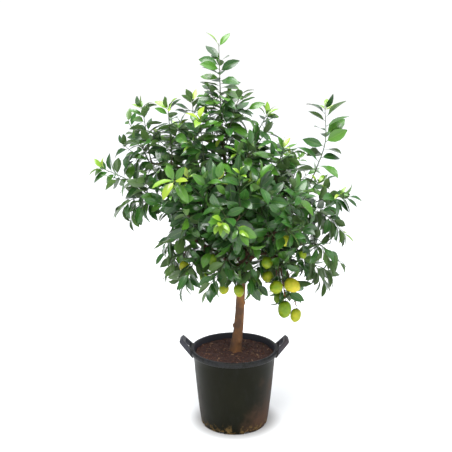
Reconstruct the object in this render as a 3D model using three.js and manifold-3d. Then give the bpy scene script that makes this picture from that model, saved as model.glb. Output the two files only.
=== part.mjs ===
// A young lemon tree grown as a small standard in a black nursery container with two lip handles.
//
// Frame: millimetres, +Z up, origin at the centre of the container's flat underside, +X towards the
// right-hand handle, +Y towards the back. One node for the container, one for the potting soil, one
// for the trunk with its roots, limbs and spurs (it grew as one piece), one for each leafy shoot and
// one for each fruit on its stalk.
//
// The crown is drawn once, by hand, as limbs, shoots and fruit at set places above the soil, and is
// then stretched to the crown's own width and height. Leaves follow by rule along each shoot.

import * as THREE from 'three';
import { mergeVertices } from 'three/addons/utils/BufferGeometryUtils.js';
import Module from 'manifold-3d';

const wasm = await Module();
wasm.setup();

// ---------------------------------------------------------------- driving dimensions

const POT_HEIGHT = 355;
const RIM_RADIUS = 200;          // outside of the lip
const LIP_HEIGHT = 22;
const LIP_OVERHANG = 12;         // how far the lip stands out from the wall
const LIP_ROUND = 4;
const BASE_RADIUS = 150;
const WALL = 5;
const WALL_SWELL = 0.72;         // 1 is a straight cone, less swells the lower wall
const FLOOR = 6;
const POT_SIDES = 32;

const HANDLE_REACH = 72;         // from the lip to the outside of the grip, along the handle
const HANDLE_TILT = 48;          // degrees above level
const HANDLE_ROOT_WIDTH = 112;
const HANDLE_GRIP_WIDTH = 76;
const HANDLE_BAR = 22;
const HANDLE_THICKNESS = 20;
const HANDLE_OPENING_START = 14;

const DRAIN_SLOTS = 8;
const DRAIN_SLOT_WIDTH = 26;
const DRAIN_SLOT_HEIGHT = 10;
const DRAIN_SLOT_DEPTH = 12;

const SOIL_DROP = 29;            // soil edge below the top of the lip
const SOIL_MOUND = 9;            // rise from the edge to the middle
const SOIL_CLEARANCE = 0.4;

const COLLAR_RADIUS = 31;        // trunk flare at the soil
const TRUNK_RADIUS = 20;         // trunk at the first fork
const TRUNK_HEIGHT = 365;        // soil to the first fork
const TRUNK_FOOT_GIRTH = 1.12;   // of the fork's radius, above the flare
const FLARE_RISE = 1.6;          // height in collar radii over which the flare dies away
const CROWN_HEIGHT = 1035;       // first fork to the topmost tip
const CROWN_WIDTH = 1120;
const LEADER_TAPER_END = 0.62;   // share of the crown's height where the leader is as thin as a limb's end
const LIMB_RADIUS = 12;
const SPUR_RADIUS = 4.2;
const SPUR_LEAD = 30;            // how far before its seat a spur turns towards it
const SPUR_STEP = 34;
const SHOOT_RADIUS = 3.2;
const SHOOT_TIP_RADIUS = 1.6;
const STEM_STEPS = 4;
const ROOT_COUNT = 6;
const ROOT_RADIUS = 10;
const ROOT_REACH = 110;

const LEAF_LENGTH = 92;
const LEAF_WIDTH = 43;
const LEAF_THICKNESS = 2.4;
const LEAF_DROOP = 9;
const LEAF_OPENING = { foot: 68, tip: 22 };   // degrees between a leaf and its stem
const LEAVES_PER_SHOOT = 7;

const LEMON_LENGTH = 68;
const LEMON_RADIUS = 29;
const LEMON_STALK = 16;
const STALK_RADIUS = 1.8;

const SEAT_GAP = 0.3;            // between a shoot or a stalk and the spur that carries it
const LEAF_CLEARANCE = 0.6;

// The size that the crown below is drawn at.
const DRAWN = { trunk: 365, crown: 1035, width: 1120 };

const COLLAR_HEIGHT = POT_HEIGHT - SOIL_DROP + SOIL_MOUND;
const UP = new THREE.Vector3(0, 0, 1);

// ---------------------------------------------------------------- the crown, drawn in millimetres
// Every point is [right, back, height above the soil].

const TRUNK_LINE = [
  [5, 15, -80], [6, 15, 0], [20, 15, 118], [27, 12, 238], [31, 10, 310],
  [37, 6, 400], [20, 0, 500], [-5, -5, 640], [-30, 0, 800], [-50, 5, 930], [-55, 0, 1000],
];

const LIMBS = {
  right_low: { line: [[37, 6, 395], [80, -15, 445], [128, -30, 468], [190, -38, 452], [262, -32, 476]] },
  right_mid: { line: [[36, 6, 415], [105, 25, 520], [180, 25, 600], [250, 10, 655], [290, 0, 690]] },
  right_inner: { line: [[110, 25, 526], [165, 5, 640], [180, -12, 720], [176, -20, 790]], girth: 0.7 },
  right_up: { line: [[-24, -2, 740], [20, -8, 820], [62, -12, 895]], girth: 0.7 },
  left_low: { line: [[34, 8, 375], [-20, 5, 420], [-80, -5, 462], [-140, -22, 505], [-185, -42, 535]] },
  left_mid: { line: [[15, -1, 525], [-70, -15, 590], [-170, -15, 640], [-260, -5, 680], [-345, 0, 705]] },
  left_up: { line: [[-10, -4, 660], [-90, -15, 740], [-180, -10, 808], [-270, 0, 850], [-355, 12, 855]] },
  front_mid: { line: [[34, 5, 430], [25, -70, 500], [12, -150, 580], [8, -215, 650]] },
  front_left: { line: [[22, 0, 490], [-50, -65, 560], [-120, -130, 622], [-180, -165, 655]] },
  front_right: { line: [[35, 5, 442], [95, -70, 515], [150, -128, 570], [205, -150, 605]] },
  back_mid: { line: [[24, 3, 475], [34, 100, 560], [42, 200, 645], [40, 285, 705]] },
  back_left: { line: [[-6, -4, 645], [-80, 85, 720], [-150, 165, 780], [-205, 215, 820]] },
  back_right: { line: [[33, 5, 452], [110, 105, 540], [185, 175, 610], [240, 215, 655]] },
  back_low: { line: [[36, 7, 405], [-5, 90, 450], [-70, 160, 490], [-140, 205, 515]] },
};

// base and tip of each leafy shoot; arch lifts its middle, via replaces the middle by given points.
const SHOOTS = {
  top_leader: { limb: 'trunk', base: [-55, 0, 1002], tip: [-65, 0, 1360], arch: 0, leaves: 11 },
  top_right: { limb: 'trunk', base: [-32, -30, 950], tip: [25, -50, 1150], arch: 20 },
  top_left: { limb: 'trunk', base: [-85, 20, 935], tip: [-120, 45, 1130], arch: 10 },
  left_crest: { limb: 'left_up', base: [-362, 0, 880], tip: [-390, -5, 1095], arch: 0 },
  left_fan: { limb: 'left_up', base: [-372, 30, 862], tip: [-465, 70, 1035], arch: 10 },
  left_spire: { limb: 'left_up', base: [-268, -12, 895], tip: [-280, -20, 1095], arch: 0 },
  left_inner: { limb: 'left_up', base: [-165, -30, 850], tip: [-175, -50, 1130], arch: 0 },
  left_far: { limb: 'left_mid', base: [-362, -8, 715], tip: [-575, 0, 838], arch: 14 },
  left_hang: { limb: 'left_mid', base: [-345, 28, 690], tip: [-520, 60, 650], arch: 30 },
  left_low_fan: { limb: 'left_low', base: [-195, -60, 545], tip: [-300, -95, 530], arch: 16 },
  left_drop: { limb: 'left_low', base: [-178, 5, 500], tip: [-300, 30, 370], arch: 26 },
  left_under: { limb: 'left_low', base: [-135, -45, 480], tip: [-222, -85, 330], arch: 22 },
  right_crest: { limb: 'right_up', base: [65, -14, 912], tip: [140, -20, 1070], arch: 8 },
  right_gold: { limb: 'right_inner', base: [176, -24, 806], tip: [208, -62, 930], arch: 6 },
  right_tall: { limb: 'right_mid', base: [300, 0, 705], tip: [385, 0, 1098],
    via: [[360, 0, 850], [390, 0, 950]], leaves: 11 },
  right_wing: { limb: 'right_mid', base: [305, -35, 672], tip: [492, -62, 722], arch: 18 },
  right_hang: { limb: 'right_mid', base: [308, 40, 650], tip: [500, 90, 525], arch: 34 },
  right_low_wing: { limb: 'right_low', base: [282, -50, 515], tip: [458, -75, 438], arch: 34 },
  right_low_drop: { limb: 'right_low', base: [272, 8, 480], tip: [412, 38, 300], arch: 36 },
  front_under: { limb: 'front_mid', base: [-20, -110, 480], tip: [-88, -165, 340], arch: 20 },
  front_low: { limb: 'right_low', base: [60, -85, 470], tip: [72, -150, 340], arch: 18 },
  front_gold: { limb: 'left_mid', base: [-120, -70, 790], tip: [-140, -130, 1050], arch: 0 },
  front_left_gold: { limb: 'front_left', base: [-195, -178, 668], tip: [-240, -255, 822], arch: 8 },
  front_cluster: { limb: 'front_mid', base: [-15, -232, 645], tip: [-52, -330, 660], arch: 22 },
  front_spire: { limb: 'front_mid', base: [22, -222, 672], tip: [22, -268, 852], arch: 0 },
  front_left_mid: { limb: 'front_left', base: [-115, -168, 655], tip: [-112, -262, 840], arch: 0 },
  front_right_mid: { limb: 'front_right', base: [120, -150, 605], tip: [98, -250, 852], arch: 0 },
  front_right_up: { limb: 'front_right', base: [215, -165, 618], tip: [242, -235, 785], arch: 0 },
  front_upper: { limb: 'right_up', base: [40, -60, 790], tip: [62, -140, 955], arch: 6 },
  front_right_drop: { limb: 'front_right', base: [165, -175, 560], tip: [245, -270, 600], arch: 30 },
  back_crest: { limb: 'back_mid', base: [42, 296, 722], tip: [60, 405, 880], arch: 10 },
  back_hang: { limb: 'back_mid', base: [62, 262, 672], tip: [95, 430, 640], arch: 30 },
  back_upper: { limb: 'back_mid', base: [30, 120, 650], tip: [15, 190, 960], arch: 10 },
  back_left_crest: { limb: 'back_left', base: [-212, 226, 836], tip: [-290, 285, 985], arch: 10 },
  back_left_mid: { limb: 'back_left', base: [-195, 205, 775], tip: [-335, 300, 745], arch: 24 },
  back_left_low: { limb: 'back_low', base: [-152, 216, 522], tip: [-270, 320, 560], arch: 24 },
  back_low_drop: { limb: 'back_low', base: [-60, 180, 460], tip: [-100, 320, 350], arch: 26 },
  back_right_crest: { limb: 'back_right', base: [252, 226, 672], tip: [310, 290, 850], arch: 10 },
  back_right_low: { limb: 'back_right', base: [215, 218, 610], tip: [350, 300, 520], arch: 28 },
  back_right_drop: { limb: 'right_low', base: [150, 60, 440], tip: [190, 215, 345], arch: 26 },
};

// centre of each fruit; size is its share of a full-grown one.
const LEMONS = {
  lemon_right_1: { limb: 'right_low', centre: [141, -95, 441], size: 0.85 },
  lemon_right_2: { limb: 'right_low', centre: [146, -60, 369], size: 0.85 },
  lemon_right_3: { limb: 'right_low', centre: [181, -108, 335], size: 0.95 },
  lemon_right_4: { limb: 'right_low', centre: [250, -92, 339], size: 1.1 },
  lemon_right_5: { limb: 'right_low', centre: [201, 10, 249], size: 0.85 },
  lemon_right_6: { limb: 'right_low', centre: [222, -58, 218], size: 1.05 },
  lemon_right_7: { limb: 'right_low', centre: [273, -40, 185], size: 0.88 },
  lemon_inner_1: { limb: 'right_low', centre: [94, 15, 294], size: 0.76 },
  lemon_inner_2: { limb: 'left_low', centre: [-46, -60, 312], size: 0.74 },
  lemon_inner_3: { limb: 'right_low', centre: [20, -85, 313], size: 0.84 },
  lemon_left_1: { limb: 'left_low', centre: [-222, -22, 406], size: 0.76 },
  lemon_left_2: { limb: 'left_low', centre: [-135, -10, 355], size: 0.76 },
  lemon_left_3: { limb: 'left_low', centre: [-93, -110, 456], size: 0.76 },
  lemon_front_1: { limb: 'front_right', centre: [212, -205, 562], size: 0.7 },
  lemon_front_2: { limb: 'right_low', centre: [292, -118, 482], size: 0.56 },
  lemon_back_1: { limb: 'back_low', centre: [20, 185, 340], size: 0.9 },
  lemon_back_2: { limb: 'back_right', centre: [150, 205, 435], size: 0.86 },
};

/** A drawn point at the tree's real size, in the part's frame. */
function grown([right, back, height]) {
  const spread = CROWN_WIDTH / DRAWN.width;
  const inCrown = Math.max(0, height - DRAWN.trunk);
  const belowFork = Math.min(height, DRAWN.trunk);
  const rise = belowFork * (TRUNK_HEIGHT / DRAWN.trunk) + inCrown * (CROWN_HEIGHT / DRAWN.crown);
  return new THREE.Vector3(right * spread, back * spread, COLLAR_HEIGHT + rise);
}

// ---------------------------------------------------------------- solids

/** A closed solid from a three.js geometry whose shared corners are merged. */
function solidOf(geometry) {
  const bare = new THREE.BufferGeometry();
  bare.setAttribute('position', geometry.attributes.position.clone());
  if (geometry.index) bare.setIndex(geometry.index.clone());
  const merged = mergeVertices(bare, 1e-4);
  return new wasm.Manifold(new wasm.Mesh({
    numProp: 3,
    vertProperties: new Float32Array(merged.attributes.position.array),
    triVerts: new Uint32Array(merged.index.array),
  }));
}

function geometryOf(solid) {
  const mesh = solid.getMesh();
  const geometry = new THREE.BufferGeometry();
  geometry.setAttribute('position', new THREE.BufferAttribute(new Float32Array(mesh.vertProperties), 3));
  geometry.setIndex(new THREE.BufferAttribute(new Uint32Array(mesh.triVerts), 1));
  geometry.computeVertexNormals();
  return geometry;
}

/** Join solids in pairs, so that no single join grows long. */
function joined(solids) {
  let rest = solids;
  while (rest.length > 1) {
    const next = [];
    for (let i = 0; i < rest.length; i += 2) {
      next.push(i + 1 < rest.length ? rest[i].add(rest[i + 1]) : rest[i]);
    }
    rest = next;
  }
  return rest[0];
}

/** Spin a profile of [radius, height] pairs, from axis to axis, about +Z. */
function turned(profile, sides) {
  const points = profile.map(([radius, height]) => new THREE.Vector2(radius, height));
  return new THREE.LatheGeometry(points, sides).rotateX(Math.PI / 2);
}

/** A tapering round branch: a cylinder whose rows are carried onto the curve. Grow thickens it and
 * lengthens both ends, for the clearance around it. */
function branch(curve, radiusAt, sides, steps, grow = 0) {
  const geometry = new THREE.CylinderGeometry(1, 1, 1, sides, steps);
  const frames = curve.computeFrenetFrames(steps, false);
  const position = geometry.attributes.position;
  for (let i = 0; i < position.count; i += 1) {
    const row = Math.round((position.getY(i) + 0.5) * steps);
    const along = row / steps;
    const radius = radiusAt(along) + grow;
    const overrun = (row === steps ? grow : 0) - (row === 0 ? grow : 0);
    const point = curve.getPointAt(along)
      .addScaledVector(frames.tangents[row], overrun)
      .addScaledVector(frames.normals[row], position.getX(i) * radius)
      .addScaledVector(frames.binormals[row], -position.getZ(i) * radius);
    position.setXYZ(i, point.x, point.y, point.z);
  }
  return solidOf(geometry);
}

const taper = (from, to) => (along) => from + (to - from) * along;

// ---------------------------------------------------------------- container

function wallRadius(height) {
  const top = RIM_RADIUS - LIP_OVERHANG;
  return BASE_RADIUS + (top - BASE_RADIUS) * (height / POT_HEIGHT) ** WALL_SWELL;
}

function wallLine(heights, inset) {
  return heights.map((height) => [wallRadius(height) - inset, height]);
}

function handle() {
  const width = (along) => HANDLE_ROOT_WIDTH
    + (HANDLE_GRIP_WIDTH - HANDLE_ROOT_WIDTH) * (along / HANDLE_REACH);
  const sunk = -HANDLE_REACH / 2;
  const corner = HANDLE_BAR / 2;
  const openingEnd = HANDLE_REACH - HANDLE_BAR;
  const outline = new THREE.Shape([
    new THREE.Vector2(sunk, -width(0) / 2),
    new THREE.Vector2(0, -width(0) / 2),
    new THREE.Vector2(HANDLE_REACH - corner, -width(HANDLE_REACH - corner) / 2),
    new THREE.Vector2(HANDLE_REACH, -width(HANDLE_REACH) / 2 + corner),
    new THREE.Vector2(HANDLE_REACH, width(HANDLE_REACH) / 2 - corner),
    new THREE.Vector2(HANDLE_REACH - corner, width(HANDLE_REACH - corner) / 2),
    new THREE.Vector2(0, width(0) / 2),
    new THREE.Vector2(sunk, width(0) / 2),
  ]);
  outline.holes.push(new THREE.Path([
    new THREE.Vector2(HANDLE_OPENING_START, -width(HANDLE_OPENING_START) / 2 + HANDLE_BAR),
    new THREE.Vector2(openingEnd, -width(openingEnd) / 2 + HANDLE_BAR),
    new THREE.Vector2(openingEnd, width(openingEnd) / 2 - HANDLE_BAR),
    new THREE.Vector2(HANDLE_OPENING_START, width(HANDLE_OPENING_START) / 2 - HANDLE_BAR),
  ]));
  const plate = new THREE.ExtrudeGeometry(outline, { depth: HANDLE_THICKNESS, bevelEnabled: false });
  plate.translate(0, 0, -HANDLE_THICKNESS / 2);
  plate.rotateY(-THREE.MathUtils.degToRad(HANDLE_TILT));
  plate.translate(RIM_RADIUS - LIP_OVERHANG / 2, 0, POT_HEIGHT - LIP_HEIGHT / 2);
  return plate;
}

function potSolid() {
  const lipFoot = POT_HEIGHT - LIP_HEIGHT;
  const levels = [0.2, 0.45, 0.72].map((share) => share * lipFoot);
  const inner = wallRadius(POT_HEIGHT) - WALL;
  const shell = solidOf(turned([
    [0, 0], [BASE_RADIUS - LIP_ROUND, 0], [wallRadius(LIP_ROUND), LIP_ROUND],
    ...wallLine([...levels, lipFoot], 0),
    [RIM_RADIUS - LIP_ROUND, lipFoot], [RIM_RADIUS, lipFoot + LIP_ROUND],
    [RIM_RADIUS, POT_HEIGHT - LIP_ROUND], [RIM_RADIUS - LIP_ROUND, POT_HEIGHT],
    [inner + LIP_ROUND, POT_HEIGHT], [inner, POT_HEIGHT - LIP_ROUND],
    ...wallLine([...levels, lipFoot].reverse(), WALL),
    [wallRadius(FLOOR) - WALL, FLOOR], [0, FLOOR],
  ], POT_SIDES));
  const bore = solidOf(new THREE.CylinderGeometry(
    RIM_RADIUS - LIP_OVERHANG, RIM_RADIUS - LIP_OVERHANG, POT_HEIGHT * 2, POT_SIDES,
  ).rotateX(Math.PI / 2));
  const right = solidOf(handle()).subtract(bore);
  const left = solidOf(handle().rotateZ(Math.PI)).subtract(bore);
  const slots = Array.from({ length: DRAIN_SLOTS }, (_, index) => {
    const slot = new THREE.BoxGeometry(DRAIN_SLOT_DEPTH * 2, DRAIN_SLOT_WIDTH, DRAIN_SLOT_HEIGHT * 2);
    slot.translate(BASE_RADIUS, 0, 0);
    slot.rotateZ((index + 0.5) * 2 * Math.PI / DRAIN_SLOTS);
    return solidOf(slot);
  });
  return joined([shell, right, left]).subtract(joined(slots));
}

// ---------------------------------------------------------------- wood

const curveThrough = (points) => new THREE.CatmullRomCurve3(points, false, 'centripetal');

const trunkCurve = curveThrough(TRUNK_LINE.map(grown));
const limbCurves = { trunk: trunkCurve };
for (const [name, limb] of Object.entries(LIMBS)) limbCurves[name] = curveThrough(limb.line.map(grown));

/** Trunk radius: a flare at the collar, then an even taper from the first fork to the top. */
function trunkRadius(point) {
  const height = point.z - COLLAR_HEIGHT;
  if (height <= 0) return COLLAR_RADIUS;
  if (height < TRUNK_HEIGHT) {
    const flare = Math.exp(-height / (COLLAR_RADIUS * FLARE_RISE));
    const straight = TRUNK_RADIUS * (TRUNK_FOOT_GIRTH - (TRUNK_FOOT_GIRTH - 1) * height / TRUNK_HEIGHT);
    return straight + (COLLAR_RADIUS - TRUNK_RADIUS * TRUNK_FOOT_GIRTH) * flare;
  }
  const share = Math.min(1, (height - TRUNK_HEIGHT) / (CROWN_HEIGHT * LEADER_TAPER_END));
  return TRUNK_RADIUS + (SPUR_RADIUS * 1.3 - TRUNK_RADIUS) * share ** 0.6;
}

/** The curve of a shoot's stem: base, an arched middle or given points, tip. */
function shootCurve({ base, tip, arch, via }) {
  const middle = via ?? [[
    (base[0] + tip[0]) / 2, (base[1] + tip[1]) / 2, (base[2] + tip[2]) / 2 + arch,
  ]];
  return curveThrough([base, ...middle, tip].map(grown));
}

/** The point of a limb's middle line nearest to a point, searched in even steps. */
function nearestOn(curve, point) {
  return curve.getSpacedPoints(60).slice(3).reduce((best, candidate) => (
    candidate.distanceTo(point) < best.distanceTo(point) ? candidate : best));
}

/** A spur from a limb to a seat, meeting the seat along the given direction. */
function spur(limb, seat, direction) {
  const from = nearestOn(limbCurves[limb], seat);
  const lead = Math.min(SPUR_LEAD, from.distanceTo(seat) * 0.45);
  const curve = new THREE.QuadraticBezierCurve3(
    from, seat.clone().addScaledVector(direction, -lead), seat,
  );
  const steps = Math.min(3, Math.ceil(from.distanceTo(seat) / SPUR_STEP));
  return branch(curve, taper(SPUR_RADIUS * 1.1, SPUR_RADIUS * 0.8), 4, steps);
}

function rootCurve(index) {
  const angle = (index + 0.3) * 2 * Math.PI / ROOT_COUNT;
  const place = (reach, depth) => grown([
    5 + Math.cos(angle) * ROOT_REACH * reach, 15 + Math.sin(angle) * ROOT_REACH * reach, -depth,
  ]);
  return curveThrough([place(0.1, 40), place(0.45, 62), place(0.85, 110), place(1, 175)]);
}

/** Trunk and roots; grow is the clearance around them when they are cut from the soil. */
function trunkAndRoots(grow) {
  const trunk = branch(trunkCurve, (along) => trunkRadius(trunkCurve.getPointAt(along)), 8, 14, grow);
  const roots = Array.from({ length: ROOT_COUNT }, (_, index) => (
    branch(rootCurve(index), taper(ROOT_RADIUS, ROOT_RADIUS * 0.3), 4, 3, grow)));
  return joined([trunk, ...roots]);
}

// ---------------------------------------------------------------- fruit

/** Fruit profile: pointed tip, full middle, a shoulder under the calyx, then the stalk. */
function lemonGeometry(size) {
  const length = LEMON_LENGTH * size;
  const radius = LEMON_RADIUS * size;
  const neck = length / 2;
  return turned([
    [0, -neck], [radius * 0.32, -neck * 0.86], [radius * 0.9, -neck * 0.4], [radius * 0.98, neck * 0.12],
    [radius * 0.7, neck * 0.7], [STALK_RADIUS, neck],
    [STALK_RADIUS, neck + LEMON_STALK], [0, neck + LEMON_STALK],
  ], 8);
}

// ---------------------------------------------------------------- leaves

/** A leaf lying along +X: a four-sided lens with its widest part a third of the way out. The shares
 * make up for the flats of so coarse a sphere and for the narrowing towards the tip. */
function leafSolid(placement, extra = 0) {
  const geometry = new THREE.SphereGeometry(1, 4, 3).rotateZ(Math.PI / 2);
  const position = geometry.attributes.position;
  const length = LEAF_LENGTH * placement.size;
  const halfWidth = LEAF_WIDTH * placement.size * 0.56 + extra;
  const halfThickness = LEAF_THICKNESS * 0.58 + extra;
  for (let i = 0; i < position.count; i += 1) {
    const along = (position.getX(i) + 1) / 2;
    const across = position.getY(i) * halfWidth * (1 - 0.35 * along);
    const through = position.getZ(i) * halfThickness;
    position.setXYZ(i, along * (length + extra), across, through - LEAF_DROOP * along * along);
  }
  geometry.applyMatrix4(placement.matrix);
  return solidOf(geometry);
}

/** The middle of a stem as it is built: on the straight stretch between two of its rows. */
function onStem(curve, along) {
  const row = Math.min(STEM_STEPS - 1, Math.floor(along * STEM_STEPS));
  const from = curve.getPointAt(row / STEM_STEPS);
  return from.lerp(curve.getPointAt((row + 1) / STEM_STEPS), along * STEM_STEPS - row);
}

/** Where a leaf sits and how it is turned: it leaves the stem at an angle and faces up and outward. */
function leafPlacement(curve, along, turn, size) {
  const tangent = curve.getTangentAt(along);
  const steep = Math.abs(tangent.z) > 0.9;
  const side = new THREE.Vector3().crossVectors(tangent, steep ? new THREE.Vector3(1, 0, 0) : UP);
  const radial = side.normalize().applyAxisAngle(tangent, turn);
  const angle = THREE.MathUtils.lerp(LEAF_OPENING.foot, LEAF_OPENING.tip, along ** 2);
  const opening = THREE.MathUtils.degToRad(angle);
  const xAxis = tangent.clone().multiplyScalar(Math.cos(opening))
    .addScaledVector(radial, Math.sin(opening));
  const facing = UP.clone().multiplyScalar(0.8).addScaledVector(tangent, 0.6);
  const zAxis = facing.addScaledVector(xAxis, -facing.dot(xAxis)).normalize();
  const yAxis = new THREE.Vector3().crossVectors(zAxis, xAxis.normalize());
  const matrix = new THREE.Matrix4().makeBasis(xAxis, yAxis, zAxis).setPosition(onStem(curve, along));
  return { matrix, size };
}

// ---------------------------------------------------------------- assembly

const tree = new THREE.Group();
const plastic = new THREE.MeshStandardMaterial({ color: 0x23262a, roughness: 0.55, metalness: 0 });
const earth = new THREE.MeshStandardMaterial({ color: 0x3a2620, roughness: 0.95, metalness: 0 });
const bark = new THREE.MeshStandardMaterial({ color: 0x6b4a33, roughness: 0.85, metalness: 0 });
const foliage = new THREE.MeshStandardMaterial({ color: 0x2f5a26, roughness: 0.45, metalness: 0 });
const newFoliage = new THREE.MeshStandardMaterial({ color: 0x8fb83a, roughness: 0.45, metalness: 0 });
const rind = new THREE.MeshStandardMaterial({ color: 0x9fae33, roughness: 0.5, metalness: 0 });

function addNode(name, solid, material) {
  const mesh = new THREE.Mesh(geometryOf(solid), material);
  mesh.name = name;
  tree.add(mesh);
}

const shoots = Object.entries(SHOOTS).map(([name, row]) => {
  const drawn = shootCurve(row);
  const direction = drawn.getTangentAt(0);
  const seat = drawn.getPointAt(0);
  const lifted = drawn.getSpacedPoints(6);
  lifted[0] = seat.clone().addScaledVector(direction, SEAT_GAP);
  lifted.splice(1, 0, seat.clone().addScaledVector(direction, SEAT_GAP + SHOOT_RADIUS * 2));
  const curve = curveThrough(lifted);
  return { name, row, seat, direction, curve };
});

const lemons = Object.entries(LEMONS).map(([name, { limb, centre, size }]) => {
  const middle = grown(centre);
  const seat = middle.clone().addScaledVector(UP, LEMON_LENGTH * size / 2 + LEMON_STALK + SEAT_GAP);
  const solid = solidOf(lemonGeometry(size).translate(middle.x, middle.y, middle.z));
  return { name, limb, seat, solid };
});

const limbSolids = Object.entries(LIMBS).map(([name, { girth = 1 }]) => (
  branch(limbCurves[name], taper(LIMB_RADIUS * girth, SPUR_RADIUS * 1.25), 6, 4)));
const spurSolids = [
  ...shoots.map(({ row, seat, direction }) => spur(row.limb, seat, direction)),
  ...lemons.map(({ limb, seat }) => spur(limb, seat, UP.clone().negate())),
];
const wood = joined([trunkAndRoots(0), ...limbSolids, ...spurSolids]);

const soilLevel = POT_HEIGHT - SOIL_DROP;
const soilLevels = [0.2, 0.45, 0.72].map((share) => share * (POT_HEIGHT - LIP_HEIGHT));
const soilBlock = solidOf(turned([
  [0, FLOOR + SOIL_CLEARANCE], [wallRadius(FLOOR) - WALL - SOIL_CLEARANCE, FLOOR + SOIL_CLEARANCE],
  ...wallLine([...soilLevels, soilLevel], WALL + SOIL_CLEARANCE * 2),
  [wallRadius(soilLevel) * 0.45, soilLevel + SOIL_MOUND * 0.8], [0, soilLevel + SOIL_MOUND],
], POT_SIDES));

addNode('pot', potSolid(), plastic);
addNode('potting_soil', soilBlock.subtract(trunkAndRoots(SOIL_CLEARANCE)), earth);
addNode('trunk', wood, bark);
for (const { name, solid } of lemons) addNode(name, solid, rind);

// Stems first, then leaves one by one, each turned aside or left out where it would cut a neighbour.
const GOLDEN_ANGLE = Math.PI * (3 - Math.sqrt(5));
const TURN_ASIDE = [0, 0.5, -0.5, 1, -1, 1.6, -1.6];
const stems = shoots.map(({ curve }) => (
  branch(curve, taper(SHOOT_RADIUS, SHOOT_TIP_RADIUS), 4, STEM_STEPS)));
const obstacles = [
  { owner: null, solid: wood },
  ...lemons.map(({ solid }) => ({ owner: null, solid })),
  ...stems.map((solid, index) => ({ owner: index, solid })),
].map((item) => ({ ...item, box: boxOf(item.solid) }));

function boxOf(solid) {
  const { min, max } = solid.boundingBox();
  return new THREE.Box3(new THREE.Vector3(...min), new THREE.Vector3(...max));
}

function isClear(solid, owner) {
  const box = boxOf(solid);
  return obstacles.every((item) => item.owner === owner || !item.box.intersectsBox(box)
    || item.solid.intersect(solid).isEmpty());
}

shoots.forEach(({ name, row, curve }, index) => {
  const count = row.leaves ?? LEAVES_PER_SHOOT;
  const pieces = [stems[index]];
  for (let leaf = 0; leaf < count; leaf += 1) {
    const along = THREE.MathUtils.lerp(0.12, 0.97, leaf / (count - 1));
    const size = THREE.MathUtils.lerp(1.05, 0.7, along ** 3);
    const placement = TURN_ASIDE
      .map((aside) => leafPlacement(curve, along, (leaf + index) * GOLDEN_ANGLE + aside, size))
      .find((candidate) => isClear(leafSolid(candidate, LEAF_CLEARANCE), index));
    if (placement) {
      const solid = leafSolid(placement);
      pieces.push(solid);
      obstacles.push({ owner: index, solid, box: boxOf(solid) });
    }
  }
  const young = name.endsWith('gold') || name === 'front_cluster';
  addNode(`shoot_${name}`, joined(pieces), young ? newFoliage : foliage);
});

export default tree;
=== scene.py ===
"""A young lemon tree in a black nursery container: leaves, wood, fruit, soil and pot on the CAD frame."""

import math
import random

import bmesh
import bpy
import numpy as np
from mathutils import Matrix, Vector
from mathutils.bvhtree import BVHTree


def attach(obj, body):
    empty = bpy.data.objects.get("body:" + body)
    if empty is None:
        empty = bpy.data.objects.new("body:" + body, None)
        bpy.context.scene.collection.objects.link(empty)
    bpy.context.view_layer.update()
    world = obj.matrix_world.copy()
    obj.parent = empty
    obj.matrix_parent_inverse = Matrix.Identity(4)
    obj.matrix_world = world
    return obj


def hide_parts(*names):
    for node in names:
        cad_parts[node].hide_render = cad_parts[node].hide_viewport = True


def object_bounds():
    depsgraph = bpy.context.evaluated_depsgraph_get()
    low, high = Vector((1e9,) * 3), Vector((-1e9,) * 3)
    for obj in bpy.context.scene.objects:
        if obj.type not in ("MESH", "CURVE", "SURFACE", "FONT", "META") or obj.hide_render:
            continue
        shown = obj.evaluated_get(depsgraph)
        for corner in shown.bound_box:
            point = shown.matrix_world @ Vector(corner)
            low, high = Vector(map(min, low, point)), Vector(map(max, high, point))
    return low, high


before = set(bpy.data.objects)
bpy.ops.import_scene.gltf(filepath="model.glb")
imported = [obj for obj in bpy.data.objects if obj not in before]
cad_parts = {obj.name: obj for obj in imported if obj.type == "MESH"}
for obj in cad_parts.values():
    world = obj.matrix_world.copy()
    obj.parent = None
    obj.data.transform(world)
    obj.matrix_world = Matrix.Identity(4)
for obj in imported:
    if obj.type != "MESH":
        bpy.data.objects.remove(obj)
cad_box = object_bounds()

MM = 0.001
UP = Vector((0, 0, 1))

# ---------------------------------------------------------------- sizes in millimetres

POT_HEIGHT = 355
RIM_RADIUS = 200
LIP_HEIGHT = 22
LIP_OVERHANG = 12
BASE_RADIUS = 150
WALL = 5
WALL_SWELL = 0.72
FLOOR = 6
HANDLE_REACH = 72
HANDLE_TILT = math.radians(48)
HANDLE_ROOT_WIDTH = 112
HANDLE_GRIP_WIDTH = 76
HANDLE_BAR = 22
HANDLE_THICKNESS = 20
HANDLE_OPENING_START = 14
HANDLE_SUNK = 20
HANDLE_CORNER = 13
HANDLE_EDGE = 4.5
DRAIN_SLOTS = 8
DRAIN_SLOT_WIDTH = 26
DRAIN_SLOT_HEIGHT = 10
DRAIN_SLOT_DEPTH = 30
SOIL_DROP = 29
SOIL_MOUND = 9
SOIL_LEVEL = POT_HEIGHT - SOIL_DROP
COLLAR_HEIGHT = SOIL_LEVEL + SOIL_MOUND
CHIP_COUNT = 520
CHIP_SIZE = (5, 15)

COLLAR_RADIUS = 31
TRUNK_RADIUS = 20
TRUNK_HEIGHT = 365
CROWN_HEIGHT = 1035
LIMB_RADIUS = 12
SPUR_RADIUS = 4.2
SHOOT_RADIUS = 3.2
SHOOT_TIP_RADIUS = 1.3
ROOT_COUNT = 6
ROOT_RADIUS = 10
ROOT_REACH = 110
WOOD_VOXEL = 2.6

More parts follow.
